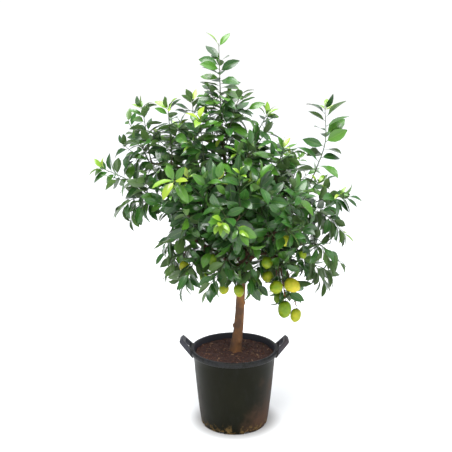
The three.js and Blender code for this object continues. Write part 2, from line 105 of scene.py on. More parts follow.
LEAF_LENGTH = (76, 108)
LEAF_SPACING = 12.5
BUD_LEAF_LENGTH = (40, 62)
TWIG_LENGTH = (75, 125)
INNER_TWIG_LENGTH = (90, 190)
SPRAY_TWIG_LENGTH = (26, 60)
LEMON_LENGTH = 68
LEMON_RADIUS = 29
LEMON_STALK = 16
CALYX_RADIUS = 6.4

# ---------------------------------------------------------------- the crown, drawn in millimetres
# Every point is [right, back, height above the soil], as the CAD frame draws it.

TRUNK_LINE = [
    (5, 15, -80), (6, 15, 0), (20, 15, 118), (27, 12, 238), (31, 10, 310),
    (37, 6, 400), (20, 0, 500), (-5, -5, 640), (-30, 0, 800), (-50, 5, 930), (-55, 0, 1000),
]

LIMBS = {
    "right_low": ([(37, 6, 395), (80, -15, 445), (128, -30, 468), (190, -38, 452), (262, -32, 476)], 1),
    "right_mid": ([(36, 6, 415), (105, 25, 520), (180, 25, 600), (250, 10, 655), (290, 0, 690)], 1),
    "right_inner": ([(110, 25, 526), (165, 5, 640), (180, -12, 720), (176, -20, 790)], 0.7),
    "right_up": ([(-24, -2, 740), (20, -8, 820), (62, -12, 895)], 0.7),
    "left_low": ([(34, 8, 375), (-20, 5, 420), (-80, -5, 462), (-140, -22, 505), (-185, -42, 535)], 1),
    "left_mid": ([(15, -1, 525), (-70, -15, 590), (-170, -15, 640), (-260, -5, 680), (-345, 0, 705)], 1),
    "left_up": ([(-10, -4, 660), (-90, -15, 740), (-180, -10, 808), (-270, 0, 850), (-355, 12, 855)], 1),
    "front_mid": ([(34, 5, 430), (25, -70, 500), (12, -150, 580), (8, -215, 650)], 1),
    "front_left": ([(22, 0, 490), (-50, -65, 560), (-120, -130, 622), (-180, -165, 655)], 1),
    "front_right": ([(35, 5, 442), (95, -70, 515), (150, -128, 570), (205, -150, 605)], 1),
    "back_mid": ([(24, 3, 475), (34, 100, 560), (42, 200, 645), (40, 285, 705)], 1),
    "back_left": ([(-6, -4, 645), (-80, 85, 720), (-150, 165, 780), (-205, 215, 820)], 1),
    "back_right": ([(33, 5, 452), (110, 105, 540), (185, 175, 610), (240, 215, 655)], 1),
    "back_low": ([(36, 7, 405), (-5, 90, 450), (-70, 160, 490), (-140, 205, 515)], 1),
}

# name: limb, base, tip, arch or the points in between, and how young its leaves are
SHOOTS = {
    "top_leader": ("trunk", (-55, 0, 1002), (-65, 0, 1360), 0, 0.45),
    "top_right": ("trunk", (-32, -30, 950), (25, -50, 1150), 20, 0.2),
    "top_left": ("trunk", (-85, 20, 935), (-120, 45, 1130), 10, 0.2),
    "left_crest": ("left_up", (-362, 0, 880), (-390, -5, 1095), 0, 0.35),
    "left_fan": ("left_up", (-372, 30, 862), (-465, 70, 1035), 10, 0.2),
    "left_spire": ("left_up", (-268, -12, 895), (-280, -20, 1095), 0, 0.3),
    "left_inner": ("left_up", (-165, -30, 850), (-175, -50, 1130), 0, 0.3),
    "left_far": ("left_mid", (-362, -8, 715), (-575, 0, 838), 14, 0.35),
    "left_hang": ("left_mid", (-345, 28, 690), (-520, 60, 650), 30, 0.1),
    "left_low_fan": ("left_low", (-195, -60, 545), (-300, -95, 530), 16, 0.1),
    "left_drop": ("left_low", (-178, 5, 500), (-300, 30, 370), 26, 0.05),
    "left_under": ("left_low", (-135, -45, 480), (-222, -85, 330), 22, 0.05),
    "right_crest": ("right_up", (65, -14, 912), (140, -20, 1070), 8, 0.75),
    "right_gold": ("right_inner", (176, -24, 806), (208, -62, 930), 6, 0.85),
    "right_tall": ("right_mid", (300, 0, 705), (385, 0, 1098), [(360, 0, 850), (390, 0, 950)], 0.3),
    "right_wing": ("right_mid", (305, -35, 672), (492, -62, 722), 18, 0.1),
    "right_hang": ("right_mid", (308, 40, 650), (500, 90, 525), 34, 0.35),
    "right_low_wing": ("right_low", (282, -50, 515), (458, -75, 438), 34, 0.05),
    "right_low_drop": ("right_low", (272, 8, 480), (412, 38, 300), 36, 0.05),
    "front_under": ("front_mid", (-20, -110, 480), (-88, -165, 340), 20, 0.05),
    "front_low": ("right_low", (60, -85, 470), (72, -150, 340), 18, 0.05),
    "front_gold": ("left_mid", (-120, -70, 790), (-140, -130, 1050), 0, 0.6),
    "front_left_gold": ("front_left", (-195, -178, 668), (-240, -255, 822), 8, 0.85),
    "front_cluster": ("front_mid", (-15, -232, 645), (-52, -330, 660), 22, 0.8),
    "front_spire": ("front_mid", (22, -222, 672), (22, -268, 852), 0, 0.5),
    "front_left_mid": ("front_left", (-115, -168, 655), (-112, -262, 840), 0, 0.2),
    "front_right_mid": ("front_right", (120, -150, 605), (98, -250, 852), 0, 0.2),
    "front_right_up": ("front_right", (215, -165, 618), (242, -235, 785), 0, 0.15),
    "front_upper": ("right_up", (40, -60, 790), (62, -140, 955), 6, 0.25),
    "front_right_drop": ("front_right", (165, -175, 560), (245, -270, 600), 30, 0.1),
    "back_crest": ("back_mid", (42, 296, 722), (60, 405, 880), 10, 0.4),
    "back_hang": ("back_mid", (62, 262, 672), (95, 430, 640), 30, 0.1),
    "back_upper": ("back_mid", (30, 120, 650), (15, 190, 960), 10, 0.25),
    "back_left_crest": ("back_left", (-212, 226, 836), (-290, 285, 985), 10, 0.5),
    "back_left_mid": ("back_left", (-195, 205, 775), (-335, 300, 745), 24, 0.1),
    "back_left_low": ("back_low", (-152, 216, 522), (-270, 320, 560), 24, 0.1),
    "back_low_drop": ("back_low", (-60, 180, 460), (-100, 320, 350), 26, 0.05),
    "back_right_crest": ("back_right", (252, 226, 672), (310, 290, 850), 10, 0.4),
    "back_right_low": ("back_right", (215, 218, 610), (350, 300, 520), 28, 0.1),
    "back_right_drop": ("right_low", (150, 60, 440), (190, 215, 345), 26, 0.05),
}

# name: limb, centre, share of full size, ripeness from 0 (dark green) to 1 (yellow), girth and length
# beside the usual, lean to the right
LEMONS = {
    "lemon_right_1": ("right_low", (141, -95, 441), 0.85, 0.56, 1.04, 0.96, 0.1),
    "lemon_right_2": ("right_low", (146, -60, 369), 0.85, 0.7, 1.08, 0.92, -0.5),
    "lemon_right_3": ("right_low", (181, -108, 335), 0.95, 0.64, 1.1, 0.9, -0.7),
    "lemon_right_4": ("right_low", (250, -92, 339), 1.1, 0.86, 0.98, 1.02, -1.15),
    "lemon_right_5": ("right_low", (201, 10, 249), 0.85, 0.42, 1.02, 0.98, 0.3),
    "lemon_right_6": ("right_low", (222, -58, 218), 1.05, 0.56, 1, 1.2, 0.05),
    "lemon_right_7": ("right_low", (273, -40, 185), 0.88, 0.76, 0.97, 1.1, 0.15),
    "lemon_inner_1": ("right_low", (94, 15, 294), 0.76, 0.3, 1, 1, 0.4),
    "lemon_inner_2": ("left_low", (-46, -60, 312), 0.74, 0.72, 1.05, 0.95, 0.2),
    "lemon_inner_3": ("right_low", (20, -85, 313), 0.84, 0.66, 0.97, 1.03, -0.2),
    "lemon_left_1": ("left_low", (-222, -22, 406), 0.76, 0.75, 1, 1, 0.3),
    "lemon_left_2": ("left_low", (-135, -10, 355), 0.76, 0.6, 0.95, 1.05, 0.1),
    "lemon_left_3": ("left_low", (-93, -110, 456), 0.76, 0.5, 0.85, 1.15, -0.1),
    "lemon_front_1": ("front_right", (212, -205, 562), 0.7, 0.75, 1, 1, 0.2),
    "lemon_front_2": ("right_low", (292, -118, 482), 0.56, 0.6, 1, 1, -0.3),
    "lemon_back_1": ("back_low", (20, 185, 340), 0.9, 0.6, 1, 1, -0.2),
    "lemon_back_2": ("back_right", (150, 205, 435), 0.86, 0.8, 1, 1, 0.3),
}

# ---------------------------------------------------------------- working by hand


def only(*pieces):
    """Deselects everything, then selects the pieces; the last one is active."""
    if bpy.context.object and bpy.context.object.mode != "OBJECT":
        bpy.ops.object.mode_set(mode="OBJECT")
    bpy.ops.object.select_all(action="DESELECT")
    for piece in pieces:
        piece.select_set(True)
        bpy.context.view_layer.objects.active = piece
    return pieces[-1] if pieces else None


def edit(piece):
    only(piece)
    bpy.ops.object.mode_set(mode="EDIT")


def done():
    bpy.ops.object.mode_set(mode="OBJECT")


def pick(piece, test, kind="VERT"):
    """In edit mode, selects the vertices or faces whose place passes the test."""
    bpy.ops.mesh.select_mode(type=kind)
    bpy.ops.mesh.select_all(action="DESELECT")
    work = bmesh.from_edit_mesh(piece.data)
    for item in (work.verts if kind == "VERT" else work.faces):
        place = item.co if kind == "VERT" else item.calc_center_median()
        if test(place):
            item.select_set(True)
    work.select_flush_mode()
    bmesh.update_edit_mesh(piece.data)


def new_primitive(name, add, **options):
    only()
    add(**options)
    piece = bpy.context.object
    piece.name = name
    bpy.ops.object.transform_apply(location=True, rotation=True, scale=True)
    return piece


def modify(piece, kind, **settings):
    only(piece)
    modifier = piece.modifiers.new(kind.title(), kind)
    for name, value in settings.items():
        setattr(modifier, name, value)
    bpy.ops.object.modifier_apply(modifier=modifier.name)


def smooth(piece, degrees=40):
    only(piece)
    bpy.ops.object.shade_smooth_by_angle(angle=math.radians(degrees))


def join(name, pieces):
    whole = only(*pieces)
    if len(pieces) > 1:
        bpy.ops.object.join()
    whole.name = whole.data.name = name
    return whole


def finish_piece(piece, material, slot, *nodes):
    piece.data.materials.clear()
    piece.data.materials.append(material)
    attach(piece, "root")
    if nodes:
        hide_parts(*nodes)


# ---------------------------------------------------------------- curves of the tree


def grown(point):
    """A drawn point in the frame, in metres."""
    return Vector((point[0], point[1], point[2] + COLLAR_HEIGHT)) * MM


def curve_through(points, steps):
    """Evenly spaced points of the centripetal Catmull-Rom curve through the given ones."""
    ends = [points[0] * 2 - points[1], *points, points[-1] * 2 - points[-2]]
    dense = []
    for a, b, c, d in zip(ends, ends[1:], ends[2:], ends[3:]):
        ab, bc, cd = ((q - p).length ** 0.5 for p, q in ((a, b), (b, c), (c, d)))
        out = (b - a) / ab - (c - a) / (ab + bc) + (c - b) / bc
        into = (c - b) / bc - (d - b) / (bc + cd) + (d - c) / cd
        for part in range(12):
            t = part / 12
            dense.append(
                b * (2 * t**3 - 3 * t**2 + 1) + c * (3 * t**2 - 2 * t**3)
                + out * bc * (t**3 - 2 * t**2 + t) + into * bc * (t**3 - t**2))
    dense.append(points[-1].copy())
    return even(dense, steps)


def even(points, steps):
    """The same line as points at even distances along it."""
    reach = np.cumsum([0] + [(q - p).length for p, q in zip(points, points[1:])])
    where = np.linspace(0, reach[-1], steps + 1)
    axes = [np.interp(where, reach, [p[axis] for p in points]) for axis in range(3)]
    return [Vector(p) for p in zip(*axes)]


def shoot_line(name, steps=24):
    _, base, tip, bend, _ = SHOOTS[name]
    base, tip = Vector(base), Vector(tip)
    middle = [Vector(p) for p in bend] if isinstance(bend, list) else [(base + tip) / 2 + UP * bend]
    return curve_through([grown(p) for p in (base, *middle, tip)], steps)


def nearest(line, point):
    return min(line[3:], key=lambda place: (place - point).length)


def spur_line(limb, seat, direction):
    """A side twig from a limb to where a shoot or a stalk sits."""
    start = nearest(limb_lines[limb], seat)
    lead = min(30 * MM, (start - seat).length * 0.45)
    bend = seat - direction * lead
    return [start * (1 - t) ** 2 + bend * 2 * t * (1 - t) + seat * t**2 for t in (0, 0.2, 0.4, 0.6, 0.8, 1)]


def rods(name, lines, resolution=2):
    """Round tapering rods as one mesh. Each line is its points and its radii in metres."""
    data = bpy.data.curves.new(name, "CURVE")
    data.dimensions = "3D"
    data.bevel_depth = MM
    data.bevel_resolution = resolution
    data.use_fill_caps = True
    for points, radii in lines:
        spline = data.splines.new("POLY")
        spline.points.add(len(points) - 1)
        for node, place, radius in zip(spline.points, points, radii):
            node.co = (*place, 1)
            node.radius = radius / MM
    piece = bpy.data.objects.new(name, data)
    bpy.context.scene.collection.objects.link(piece)
    only(piece)
    bpy.ops.object.convert(target="MESH")
    return bpy.context.object


def tapered(line, start, end, power=1.0):
    last = len(line) - 1
    return line, [(start + (end - start) * (index / last) ** power) * MM for index in range(last + 1)]


def trunk_radius(place):
    height = place.z / MM - COLLAR_HEIGHT
    if height <= 0:
        return COLLAR_RADIUS * MM
    if height < TRUNK_HEIGHT:
        flare = math.exp(-height / (COLLAR_RADIUS * 1.6))
        return MM * (TRUNK_RADIUS * (1.12 - 0.12 * height / TRUNK_HEIGHT)
                     + (COLLAR_RADIUS - TRUNK_RADIUS * 1.12) * flare)
    share = min(1, (height - TRUNK_HEIGHT) / (CROWN_HEIGHT * 0.62))
    return MM * (TRUNK_RADIUS + (SPUR_RADIUS * 1.3 - TRUNK_RADIUS) * share**0.6)


trunk_line = curve_through([grown(p) for p in TRUNK_LINE], 60)
limb_lines = {"trunk": trunk_line}
for limb_name, (limb_points, _) in LIMBS.items():
    limb_lines[limb_name] = curve_through([grown(p) for p in limb_points], 30)

# ---------------------------------------------------------------- materials


class Nodes:
    """Short ways to add nodes to a tree."""

    def __init__(self, tree):
        self.tree = tree

    def node(self, kind, inputs=None, **settings):
        made = self.tree.nodes.new(kind)
        for name, value in settings.items():
            setattr(made, name, value)
        for name, value in (inputs or {}).items():
            self.feed(made.inputs[name], value)
        return made

    def feed(self, socket, value):
        if isinstance(value, bpy.types.NodeSocket):
            self.tree.links.new(value, socket)
        else:
            socket.default_value = value

    def place(self, scale=(1, 1, 1)):
        coordinates = self.node("ShaderNodeTexCoord").outputs["Object"]
        return self.node("ShaderNodeMapping", {"Vector": coordinates, "Scale": scale}).outputs[0]

    def axes(self):
        """Right, back and height of the place on the surface, in metres."""
        coordinates = self.node("ShaderNodeTexCoord").outputs["Object"]
        return self.node("ShaderNodeSeparateXYZ", {"Vector": coordinates}).outputs

    def noise(self, scale, detail=4, rough=0.55, vector=None):
        return self.node("ShaderNodeTexNoise", {
            "Vector": vector or self.place(), "Scale": scale, "Detail": detail, "Roughness": rough,
        }).outputs["Fac"]

    def ramp(self, value, *stops):
        made = self.node("ShaderNodeValToRGB", {"Fac": value})
        elements = made.color_ramp.elements
        while len(elements) < len(stops):
            elements.new(0.5)
        for element, (position, colour) in zip(elements, stops):
            element.position = position
            element.color = (*colour, 1)
        return made.outputs["Color"]

    def maths(self, operation, a, b=0.0, c=0.0, clamp=False):
        made = self.node("ShaderNodeMath", operation=operation, use_clamp=clamp)
        for socket, value in zip(made.inputs, (a, b, c)):
            self.feed(socket, value)
        return made.outputs[0]

    def times(self, a, b):
        return self.maths("MULTIPLY", a, b)

    def plus(self, a, b):
        return self.maths("ADD", a, b)

    def scaled(self, value, factor, offset):
        """The value times the factor, plus the offset."""
        return self.maths("MULTIPLY_ADD", value, factor, offset)

    def greater(self, a, b):
        return self.maths("MAXIMUM", a, b)

    def reach_squared(self, right, back):
        """The square of the distance from the pot's axis."""
        return self.plus(self.times(right, right), self.times(back, back))

    def smoothstep(self, value, low, high):
        made = self.node("ShaderNodeMapRange", {"Value": value, "From Min": low, "From Max": high},
                         interpolation_type="SMOOTHSTEP")
        return made.outputs[0]

    def mix(self, share, a, b, blend="MIX"):
        made = self.node("ShaderNodeMix", data_type="RGBA", blend_type=blend)
        for socket, value in ((made.inputs[0], share), (made.inputs[6], a), (made.inputs[7], b)):
            self.feed(socket, (*value, 1) if isinstance(value, tuple) else value)
        return made.outputs[2]


class Finish(Nodes):
    """A new material with one Principled shader."""

    def __init__(self, name, **constants):
        self.material = bpy.data.materials.new(name)
        self.material.use_nodes = True
        super().__init__(self.material.node_tree)
        self.shader = self.tree.nodes["Principled BSDF"]
        for socket, value in constants.items():
            self.shader.inputs[socket.replace("_", " ")].default_value = value

    def colour(self, value):
        self.feed(self.shader.inputs["Base Color"], value)

    def roughness(self, value):
        self.feed(self.shader.inputs["Roughness"], value)

    def bump(self, height, distance, strength=1.0):
        made = self.node("ShaderNodeBump", {"Height": height, "Distance": distance, "Strength": strength})
        self.feed(self.shader.inputs["Normal"], made.outputs["Normal"])


VEIN_PAIRS = 11.0
VEIN_SLANT = 5.0


def leaf_finish():
    """The leaf's own tint with a paler midrib, slanting side veins and a thin pale edge."""
    finish = Finish("lemon_leaf", IOR=1.5, Specular_IOR_Level=0.15, Coat_Weight=0.75, Coat_Roughness=0.22)
    tint = finish.node("ShaderNodeAttribute", attribute_name="tint")
    blade = finish.node("ShaderNodeUVMap", uv_map="blade")
    along, across, _ = finish.node("ShaderNodeSeparateXYZ", {"Vector": blade.outputs[0]}).outputs
    from_rib = finish.maths("ABSOLUTE", finish.maths("SUBTRACT", across, 0.5))
    rib = finish.smoothstep(from_rib, 0.035, 0.012)
    ahead = finish.maths("SUBTRACT", finish.times(along, VEIN_PAIRS), finish.times(from_rib, VEIN_SLANT))
    vein = finish.smoothstep(finish.maths("PINGPONG", ahead, 0.5), 0.09, 0.0)
    pale = finish.greater(finish.times(rib, 0.26), finish.times(vein, 0.07))
    veined = finish.mix(pale, tint.outputs["Color"], (0.22, 0.34, 0.07))
    edge = finish.smoothstep(from_rib, 0.44, 0.5)
    finish.colour(finish.mix(finish.times(edge, 0.15), veined, (0.14, 0.24, 0.04)))
    finish.roughness(finish.scaled(tint.outputs["Alpha"], 0.25, 0.3))
    finish.bump(finish.greater(rib, finish.times(vein, 0.5)), 0.0004, 0.6)
    return finish.material


def green_stem_finish():
    finish = Finish("green_stem", IOR=1.45)
    streak = finish.noise(60, vector=finish.place((1, 1, 0.3)))
    finish.colour(finish.ramp(streak, (0.3, (0.022, 0.038, 0.012)), (0.7, (0.06, 0.085, 0.022))))
    finish.roughness(0.5)
    finish.bump(finish.noise(300), 0.0003, 0.5)
    return finish.material


def bark_finish():
    """Streaked brown bark, orange on the lower trunk and painted lighter on its right, greener towards the
    young ends.
    """
    finish = Finish("lemon_bark", IOR=1.45, Specular_IOR_Level=0.3)
    right, _, height = finish.axes()
    streak = finish.noise(28, 6, 0.6, finish.place((1, 1, 0.18)))
    patch = finish.noise(14, 3, 0.5)
    brown = finish.ramp(streak, (0.3, (0.036, 0.02, 0.012)), (0.52, (0.09, 0.047, 0.026)),
                        (0.75, (0.16, 0.09, 0.053)))
    # orange bark tone, with painted light making it lighter towards the trunk's right
    orange_lit_right = finish.ramp(finish.scaled(right, 3.0, patch), (0.4, (0.1, 0.055, 0.033)),
                       (0.66, (0.27, 0.12, 0.04)))
    lower = finish.times(finish.smoothstep(height, 0.72, 0.6), finish.smoothstep(streak, 0.2, 0.62))
    young = finish.smoothstep(height, 0.85, 1.25)
    wood = finish.mix(lower, brown, orange_lit_right)
    finish.colour(finish.mix(finish.times(young, 0.6), wood, (0.1, 0.12, 0.045)))
    finish.roughness(finish.scaled(streak, 0.3, 0.6))
    cracks = finish.node("ShaderNodeTexVoronoi", {"Vector": finish.place((1, 1, 0.22)), "Scale": 160},
                         feature="DISTANCE_TO_EDGE").outputs["Distance"]
    relief = finish.plus(finish.times(finish.smoothstep(cracks, 0.0, 0.12), 0.5), streak)
    finish.bump(relief, 0.0016, 0.8)
    return finish.material


def rind_finish():
    """Dark green to yellow by how ripe the place is, blotched and pored."""
    finish = Finish("lemon_rind", IOR=1.45, Specular_IOR_Level=0.3)
    ripe = finish.node("ShaderNodeAttribute", attribute_name="ripe").outputs["Fac"]
    blotch = finish.noise(38, 3, 0.5)
    ripened = finish.scaled(blotch, 0.55, finish.maths("SUBTRACT", ripe, 0.28))
    rind = finish.ramp(ripened, (0.0, (0.024, 0.075, 0.007)), (0.3, (0.068, 0.155, 0.008)),
                       (0.55, (0.155, 0.26, 0.009)), (0.8, (0.36, 0.37, 0.014)), (1.0, (0.58, 0.48, 0.03)))
    speck = finish.node("ShaderNodeTexVoronoi", {"Vector": finish.place(), "Scale": 520}).outputs["Distance"]
    pore = finish.smoothstep(speck, 0.0, 0.42)
    finish.colour(finish.mix(finish.scaled(pore, -0.12, 0.12), rind, (0.12, 0.15, 0.015)))
    finish.roughness(finish.scaled(blotch, 0.15, 0.34))
    finish.bump(pore, 0.0006, 0.5)
    return finish.material


def plastic_finish():
    """Black plastic, painted bluish highlights on lip, handles and inner wall, scuffs, red dust at right,
    dried mud at foot.
    """
    finish = Finish("pot_plastic", IOR=1.46, Specular_IOR_Level=0.11, Specular_Tint=(1, 0.98, 0.76, 1))
    right, back, height = finish.axes()
    cloud = finish.noise(9, 5, 0.6)
    fine = finish.noise(55, 6, 0.65)
    plastic = finish.ramp(cloud, (0.3, (0.0032, 0.0036, 0.002)), (0.7, (0.006, 0.0064, 0.0032)))

    lip_foot, soil_top = (POT_HEIGHT - LIP_HEIGHT) * MM, SOIL_LEVEL * MM
    reach = finish.reach_squared(right, back)
    outside = finish.smoothstep(finish.scaled(height, -0.036, reach), 0.0219, 0.0224)
    above_soil = finish.smoothstep(height, soil_top - 0.026, soil_top - 0.011)
    inside = finish.times(above_soil, finish.maths("SUBTRACT", 1.0, outside))
    # painted light: the handles and the inner wall above the soil are painted a lighter bluish grey
    handle_and_inner_wall_light = finish.greater(finish.smoothstep(reach, 0.0412, 0.043), inside)
    # painted highlight: a patchy lighter bluish band round the lip
    lip = finish.times(finish.smoothstep(height, lip_foot - 0.007, lip_foot + 0.005),
                       finish.smoothstep(fine, 0.2, 0.6))
    scuffed = finish.smoothstep(finish.noise(30, 8, 0.7, finish.place((1, 1, 0.35))), 0.46, 0.8)
    # the painted highlights, mixed with real scuffs on the wall
    highlight_and_scuffs = finish.greater(finish.times(handle_and_inner_wall_light, 0.75), finish.scaled(lip, 0.28, finish.times(scuffed, 0.08)))
    highlit_scuffed_plastic = finish.mix(highlight_and_scuffs, plastic, (0.062, 0.063, 0.078))

    slant = finish.plus(finish.scaled(height, -0.44, right), finish.scaled(cloud, 0.2, -0.1))
    left_edge = finish.times(finish.smoothstep(right, -0.12, -0.175), finish.smoothstep(height, 0.25, 0.03))
    red = finish.greater(finish.smoothstep(slant, 0.0, 0.13), finish.times(left_edge, 0.5))
    patchy = finish.scaled(finish.smoothstep(cloud, 0.35, 0.65), 0.5, 0.35)
    dust = finish.times(finish.times(red, outside), patchy)
    splashes = finish.smoothstep(finish.scaled(height, -2.2, fine), 0.42, 0.56)
    mud = finish.times(finish.smoothstep(height, 0.06, 0.008), splashes)
    dusty = finish.mix(finish.times(dust, 0.62), highlit_scuffed_plastic, (0.115, 0.056, 0.036))
    finish.colour(finish.mix(finish.times(mud, 0.8), dusty, (0.16, 0.1, 0.035)))
    dull = finish.times(finish.greater(dust, mud), 0.3)
    finish.roughness(finish.maths("ADD", finish.scaled(scuffed, 0.18, 0.4), dull, clamp=True))
    grain = finish.noise(420, 3, 0.6)
    finish.bump(finish.plus(finish.times(grain, 0.25), finish.times(mud, 0.8)), 0.0006, 0.5)
    return finish.material


def soil_finish():
    """Crumbs of dark earth, damp in patches and darker towards the front."""
    finish = Finish("potting_mix", IOR=1.4)
    _, back, _ = finish.axes()
    crumb = finish.noise(190, 8, 0.7)
    earth = finish.ramp(crumb, (0.32, (0.022, 0.01, 0.008)), (0.55, (0.075, 0.033, 0.025)),
                        (0.8, (0.17, 0.085, 0.06)))
    patches = finish.times(finish.smoothstep(finish.noise(22, 3, 0.5), 0.4, 0.65), 0.6)
    front = finish.times(finish.smoothstep(back, 0.02, -0.13), 0.75)
    finish.colour(finish.mix(finish.greater(patches, front), earth, (0.032, 0.0145, 0.011)))
    finish.roughness(0.92)
    finish.bump(crumb, 0.003, 1.0)
    return finish.material


def chip_finish():
    finish = Finish("bark_chip", IOR=1.4)
    tint = finish.node("ShaderNodeAttribute", attribute_name="tint")
    fibre = finish.noise(240, 6, 0.65, finish.place((1, 0.35, 1)))
    dark = finish.ramp(fibre, (0.3, (0.35, 0.33, 0.32)), (0.7, (1.25, 1.2, 1.15)))
    finish.colour(finish.mix(1.0, tint.outputs["Color"], dark, "MULTIPLY"))
    finish.roughness(0.88)
    finish.bump(fibre, 0.001, 0.8)
    return finish.material


# ---------------------------------------------------------------- shapes made by hand


def turned(name, profile, sides):
    """Rings of (radius, height) in millimetres, extruded and resized one after another from a circle."""
    (radius, height), *rest = profile
    piece = new_primitive(name, bpy.ops.mesh.primitive_circle_add, vertices=sides, radius=radius * MM,
                          fill_type="TRIFAN", location=(0, 0, height * MM))
    edit(piece)
    bpy.ops.mesh.select_mode(type="VERT")
    pick(piece, lambda place: math.hypot(place.x, place.y) > radius * MM * 0.5)
    for next_radius, next_height in rest:
        lift = (0, 0, (next_height - height) * MM)
        bpy.ops.mesh.extrude_edges_move(TRANSFORM_OT_translate={"value": lift})
        share = next_radius / radius
        bpy.ops.transform.resize(value=(share, share, 1), center_override=(0, 0, next_height * MM))
        radius, height = next_radius, next_height
    bpy.ops.mesh.fill()
    bpy.ops.mesh.select_all(action="SELECT")
    bpy.ops.mesh.normals_make_consistent(inside=False)
    done()
    return piece


def wall_radius(height):
    return BASE_RADIUS + (RIM_RADIUS - LIP_OVERHANG - BASE_RADIUS) * (height / POT_HEIGHT) ** WALL_SWELL


def wall(heights, inset=0):
    return [(wall_radius(height) - inset, height) for height in heights]


def pot_shell():
    """The container's wall, foot ring, rolled lip and drain slots as one closed shell."""
    lip_foot = POT_HEIGHT - LIP_HEIGHT
    climb = [lip_foot * share for share in (0.03, 0.08, 0.2, 0.34, 0.48, 0.62, 0.76, 0.9, 0.985)]
    outer = wall_radius(POT_HEIGHT) + LIP_OVERHANG
    inner = wall_radius(POT_HEIGHT) - WALL
    profile = [
        (BASE_RADIUS - 22, 4), (BASE_RADIUS - 18, 3.6), (BASE_RADIUS - 15, 0.4), (BASE_RADIUS - 13, 0),
        (BASE_RADIUS - 3, 0), (BASE_RADIUS + 0.2, 1.2), (BASE_RADIUS + 1.6, 4), *wall(climb),
        (wall_radius(lip_foot) + 1.5, lip_foot - 0.8), (outer - 5.5, lip_foot - 0.2),
        (outer - 2.8, lip_foot + 1.2), (outer - 1, lip_foot + 4),
        (outer, lip_foot + 8.5), (outer - 0.2, POT_HEIGHT - 8.5),
        (outer - 1.3, POT_HEIGHT - 4.4), (outer - 3.6, POT_HEIGHT - 1.4), (outer - 6.4, POT_HEIGHT),
        (inner + 5, POT_HEIGHT), (inner + 2, POT_HEIGHT - 1), (inner + 0.4, POT_HEIGHT - 3.6),
        (inner, POT_HEIGHT - 8), *wall(climb[:0:-2], WALL), (wall_radius(FLOOR) - WALL - 4, FLOOR),
    ]
    shell = turned("pot_shell", profile, 96)
    for index in range(DRAIN_SLOTS):
        angle = (index + 0.5) * 2 * math.pi / DRAIN_SLOTS
        cutter = new_primitive("slot_cutter", bpy.ops.mesh.primitive_cube_add, size=MM,
                               scale=(DRAIN_SLOT_DEPTH, DRAIN_SLOT_WIDTH, DRAIN_SLOT_HEIGHT * 2),
                               rotation=(0, 0, angle),
                               location=Vector((math.cos(angle), math.sin(angle), 0)) * BASE_RADIUS * MM)
        edit(cutter)
        bpy.ops.mesh.select_all(action="SELECT")
        bpy.ops.mesh.bevel(offset=3 * MM, segments=3)
        done()
        modify(shell, "BOOLEAN", operation="DIFFERENCE", object=cutter, solver="EXACT")
        bpy.data.objects.remove(cutter)
    return shell


def pot_handle(side):
    """A flat loop standing out of the lip: a tapering plate, pierced, rounded and tilted up."""
    slope = (HANDLE_ROOT_WIDTH - HANDLE_GRIP_WIDTH) / HANDLE_REACH
    root = HANDLE_ROOT_WIDTH + slope * HANDLE_SUNK
    middle = (HANDLE_REACH - HANDLE_SUNK) / 2 * MM
    plate = new_primitive("pot_handle", bpy.ops.mesh.primitive_cube_add, size=MM,
                          scale=(HANDLE_REACH + HANDLE_SUNK, root, HANDLE_THICKNESS), location=(middle, 0, 0))
    edit(plate)
    pick(plate, lambda place: place.x > middle)
    bpy.ops.transform.resize(value=(1, HANDLE_GRIP_WIDTH / root, 1),
                             center_override=(HANDLE_REACH * MM, 0, 0))
    pick(plate, lambda place: abs(place.z) > HANDLE_THICKNESS * 0.4 * MM, "FACE")
    bpy.ops.mesh.inset(thickness=HANDLE_BAR * MM, use_individual=True)
    bpy.ops.mesh.bridge_edge_loops()
    pick(plate, lambda place: abs(place.x) < HANDLE_BAR * 0.4 * MM)
    bpy.ops.transform.translate(value=((HANDLE_OPENING_START + HANDLE_SUNK - HANDLE_BAR) * MM, 0, 0))
    end, corner = HANDLE_REACH * 0.98 * MM, HANDLE_GRIP_WIDTH * 0.45 * MM
    for way in (-1, 1):
        pick(plate, lambda place: place.x > end and place.y * way > corner)
        bpy.ops.mesh.bevel(offset=HANDLE_CORNER * MM, segments=3)
    bpy.ops.mesh.select_all(action="SELECT")
    bpy.ops.mesh.normals_make_consistent(inside=False)
    done()
    modify(plate, "BEVEL", width=HANDLE_EDGE * MM, segments=3, limit_method="ANGLE",
           angle_limit=math.radians(35))
    plate.rotation_euler = (0, -HANDLE_TILT, 0)
    plate.location = ((RIM_RADIUS - LIP_OVERHANG / 2) * MM, 0, (POT_HEIGHT - LIP_HEIGHT / 2) * MM)
    only(plate)
    bpy.ops.object.transform_apply(location=True, rotation=True, scale=True)
    bore = new_primitive("bore", bpy.ops.mesh.primitive_cylinder_add, vertices=96, depth=2 * POT_HEIGHT * MM,
                         radius=(RIM_RADIUS - LIP_OVERHANG + 2) * MM)
    modify(plate, "BOOLEAN", operation="DIFFERENCE", object=bore, solver="FAST")
    bpy.data.objects.remove(bore)
    if side < 0:
        plate.rotation_euler = (0, 0, math.pi)
        only(plate)
        bpy.ops.object.transform_apply(rotation=True)
    return plate


def make_pot():
    pot = join("nursery_pot", [pot_handle(1), pot_handle(-1), pot_shell()])
    smooth(pot, 38)
    finish_piece(pot, plastic_finish(), "black_plastic", "pot")


def clouds(name, scale, depth=3):
    texture = bpy.data.textures.new(name, "CLOUDS")
    texture.noise_scale = scale
    texture.noise_depth = depth
    return texture


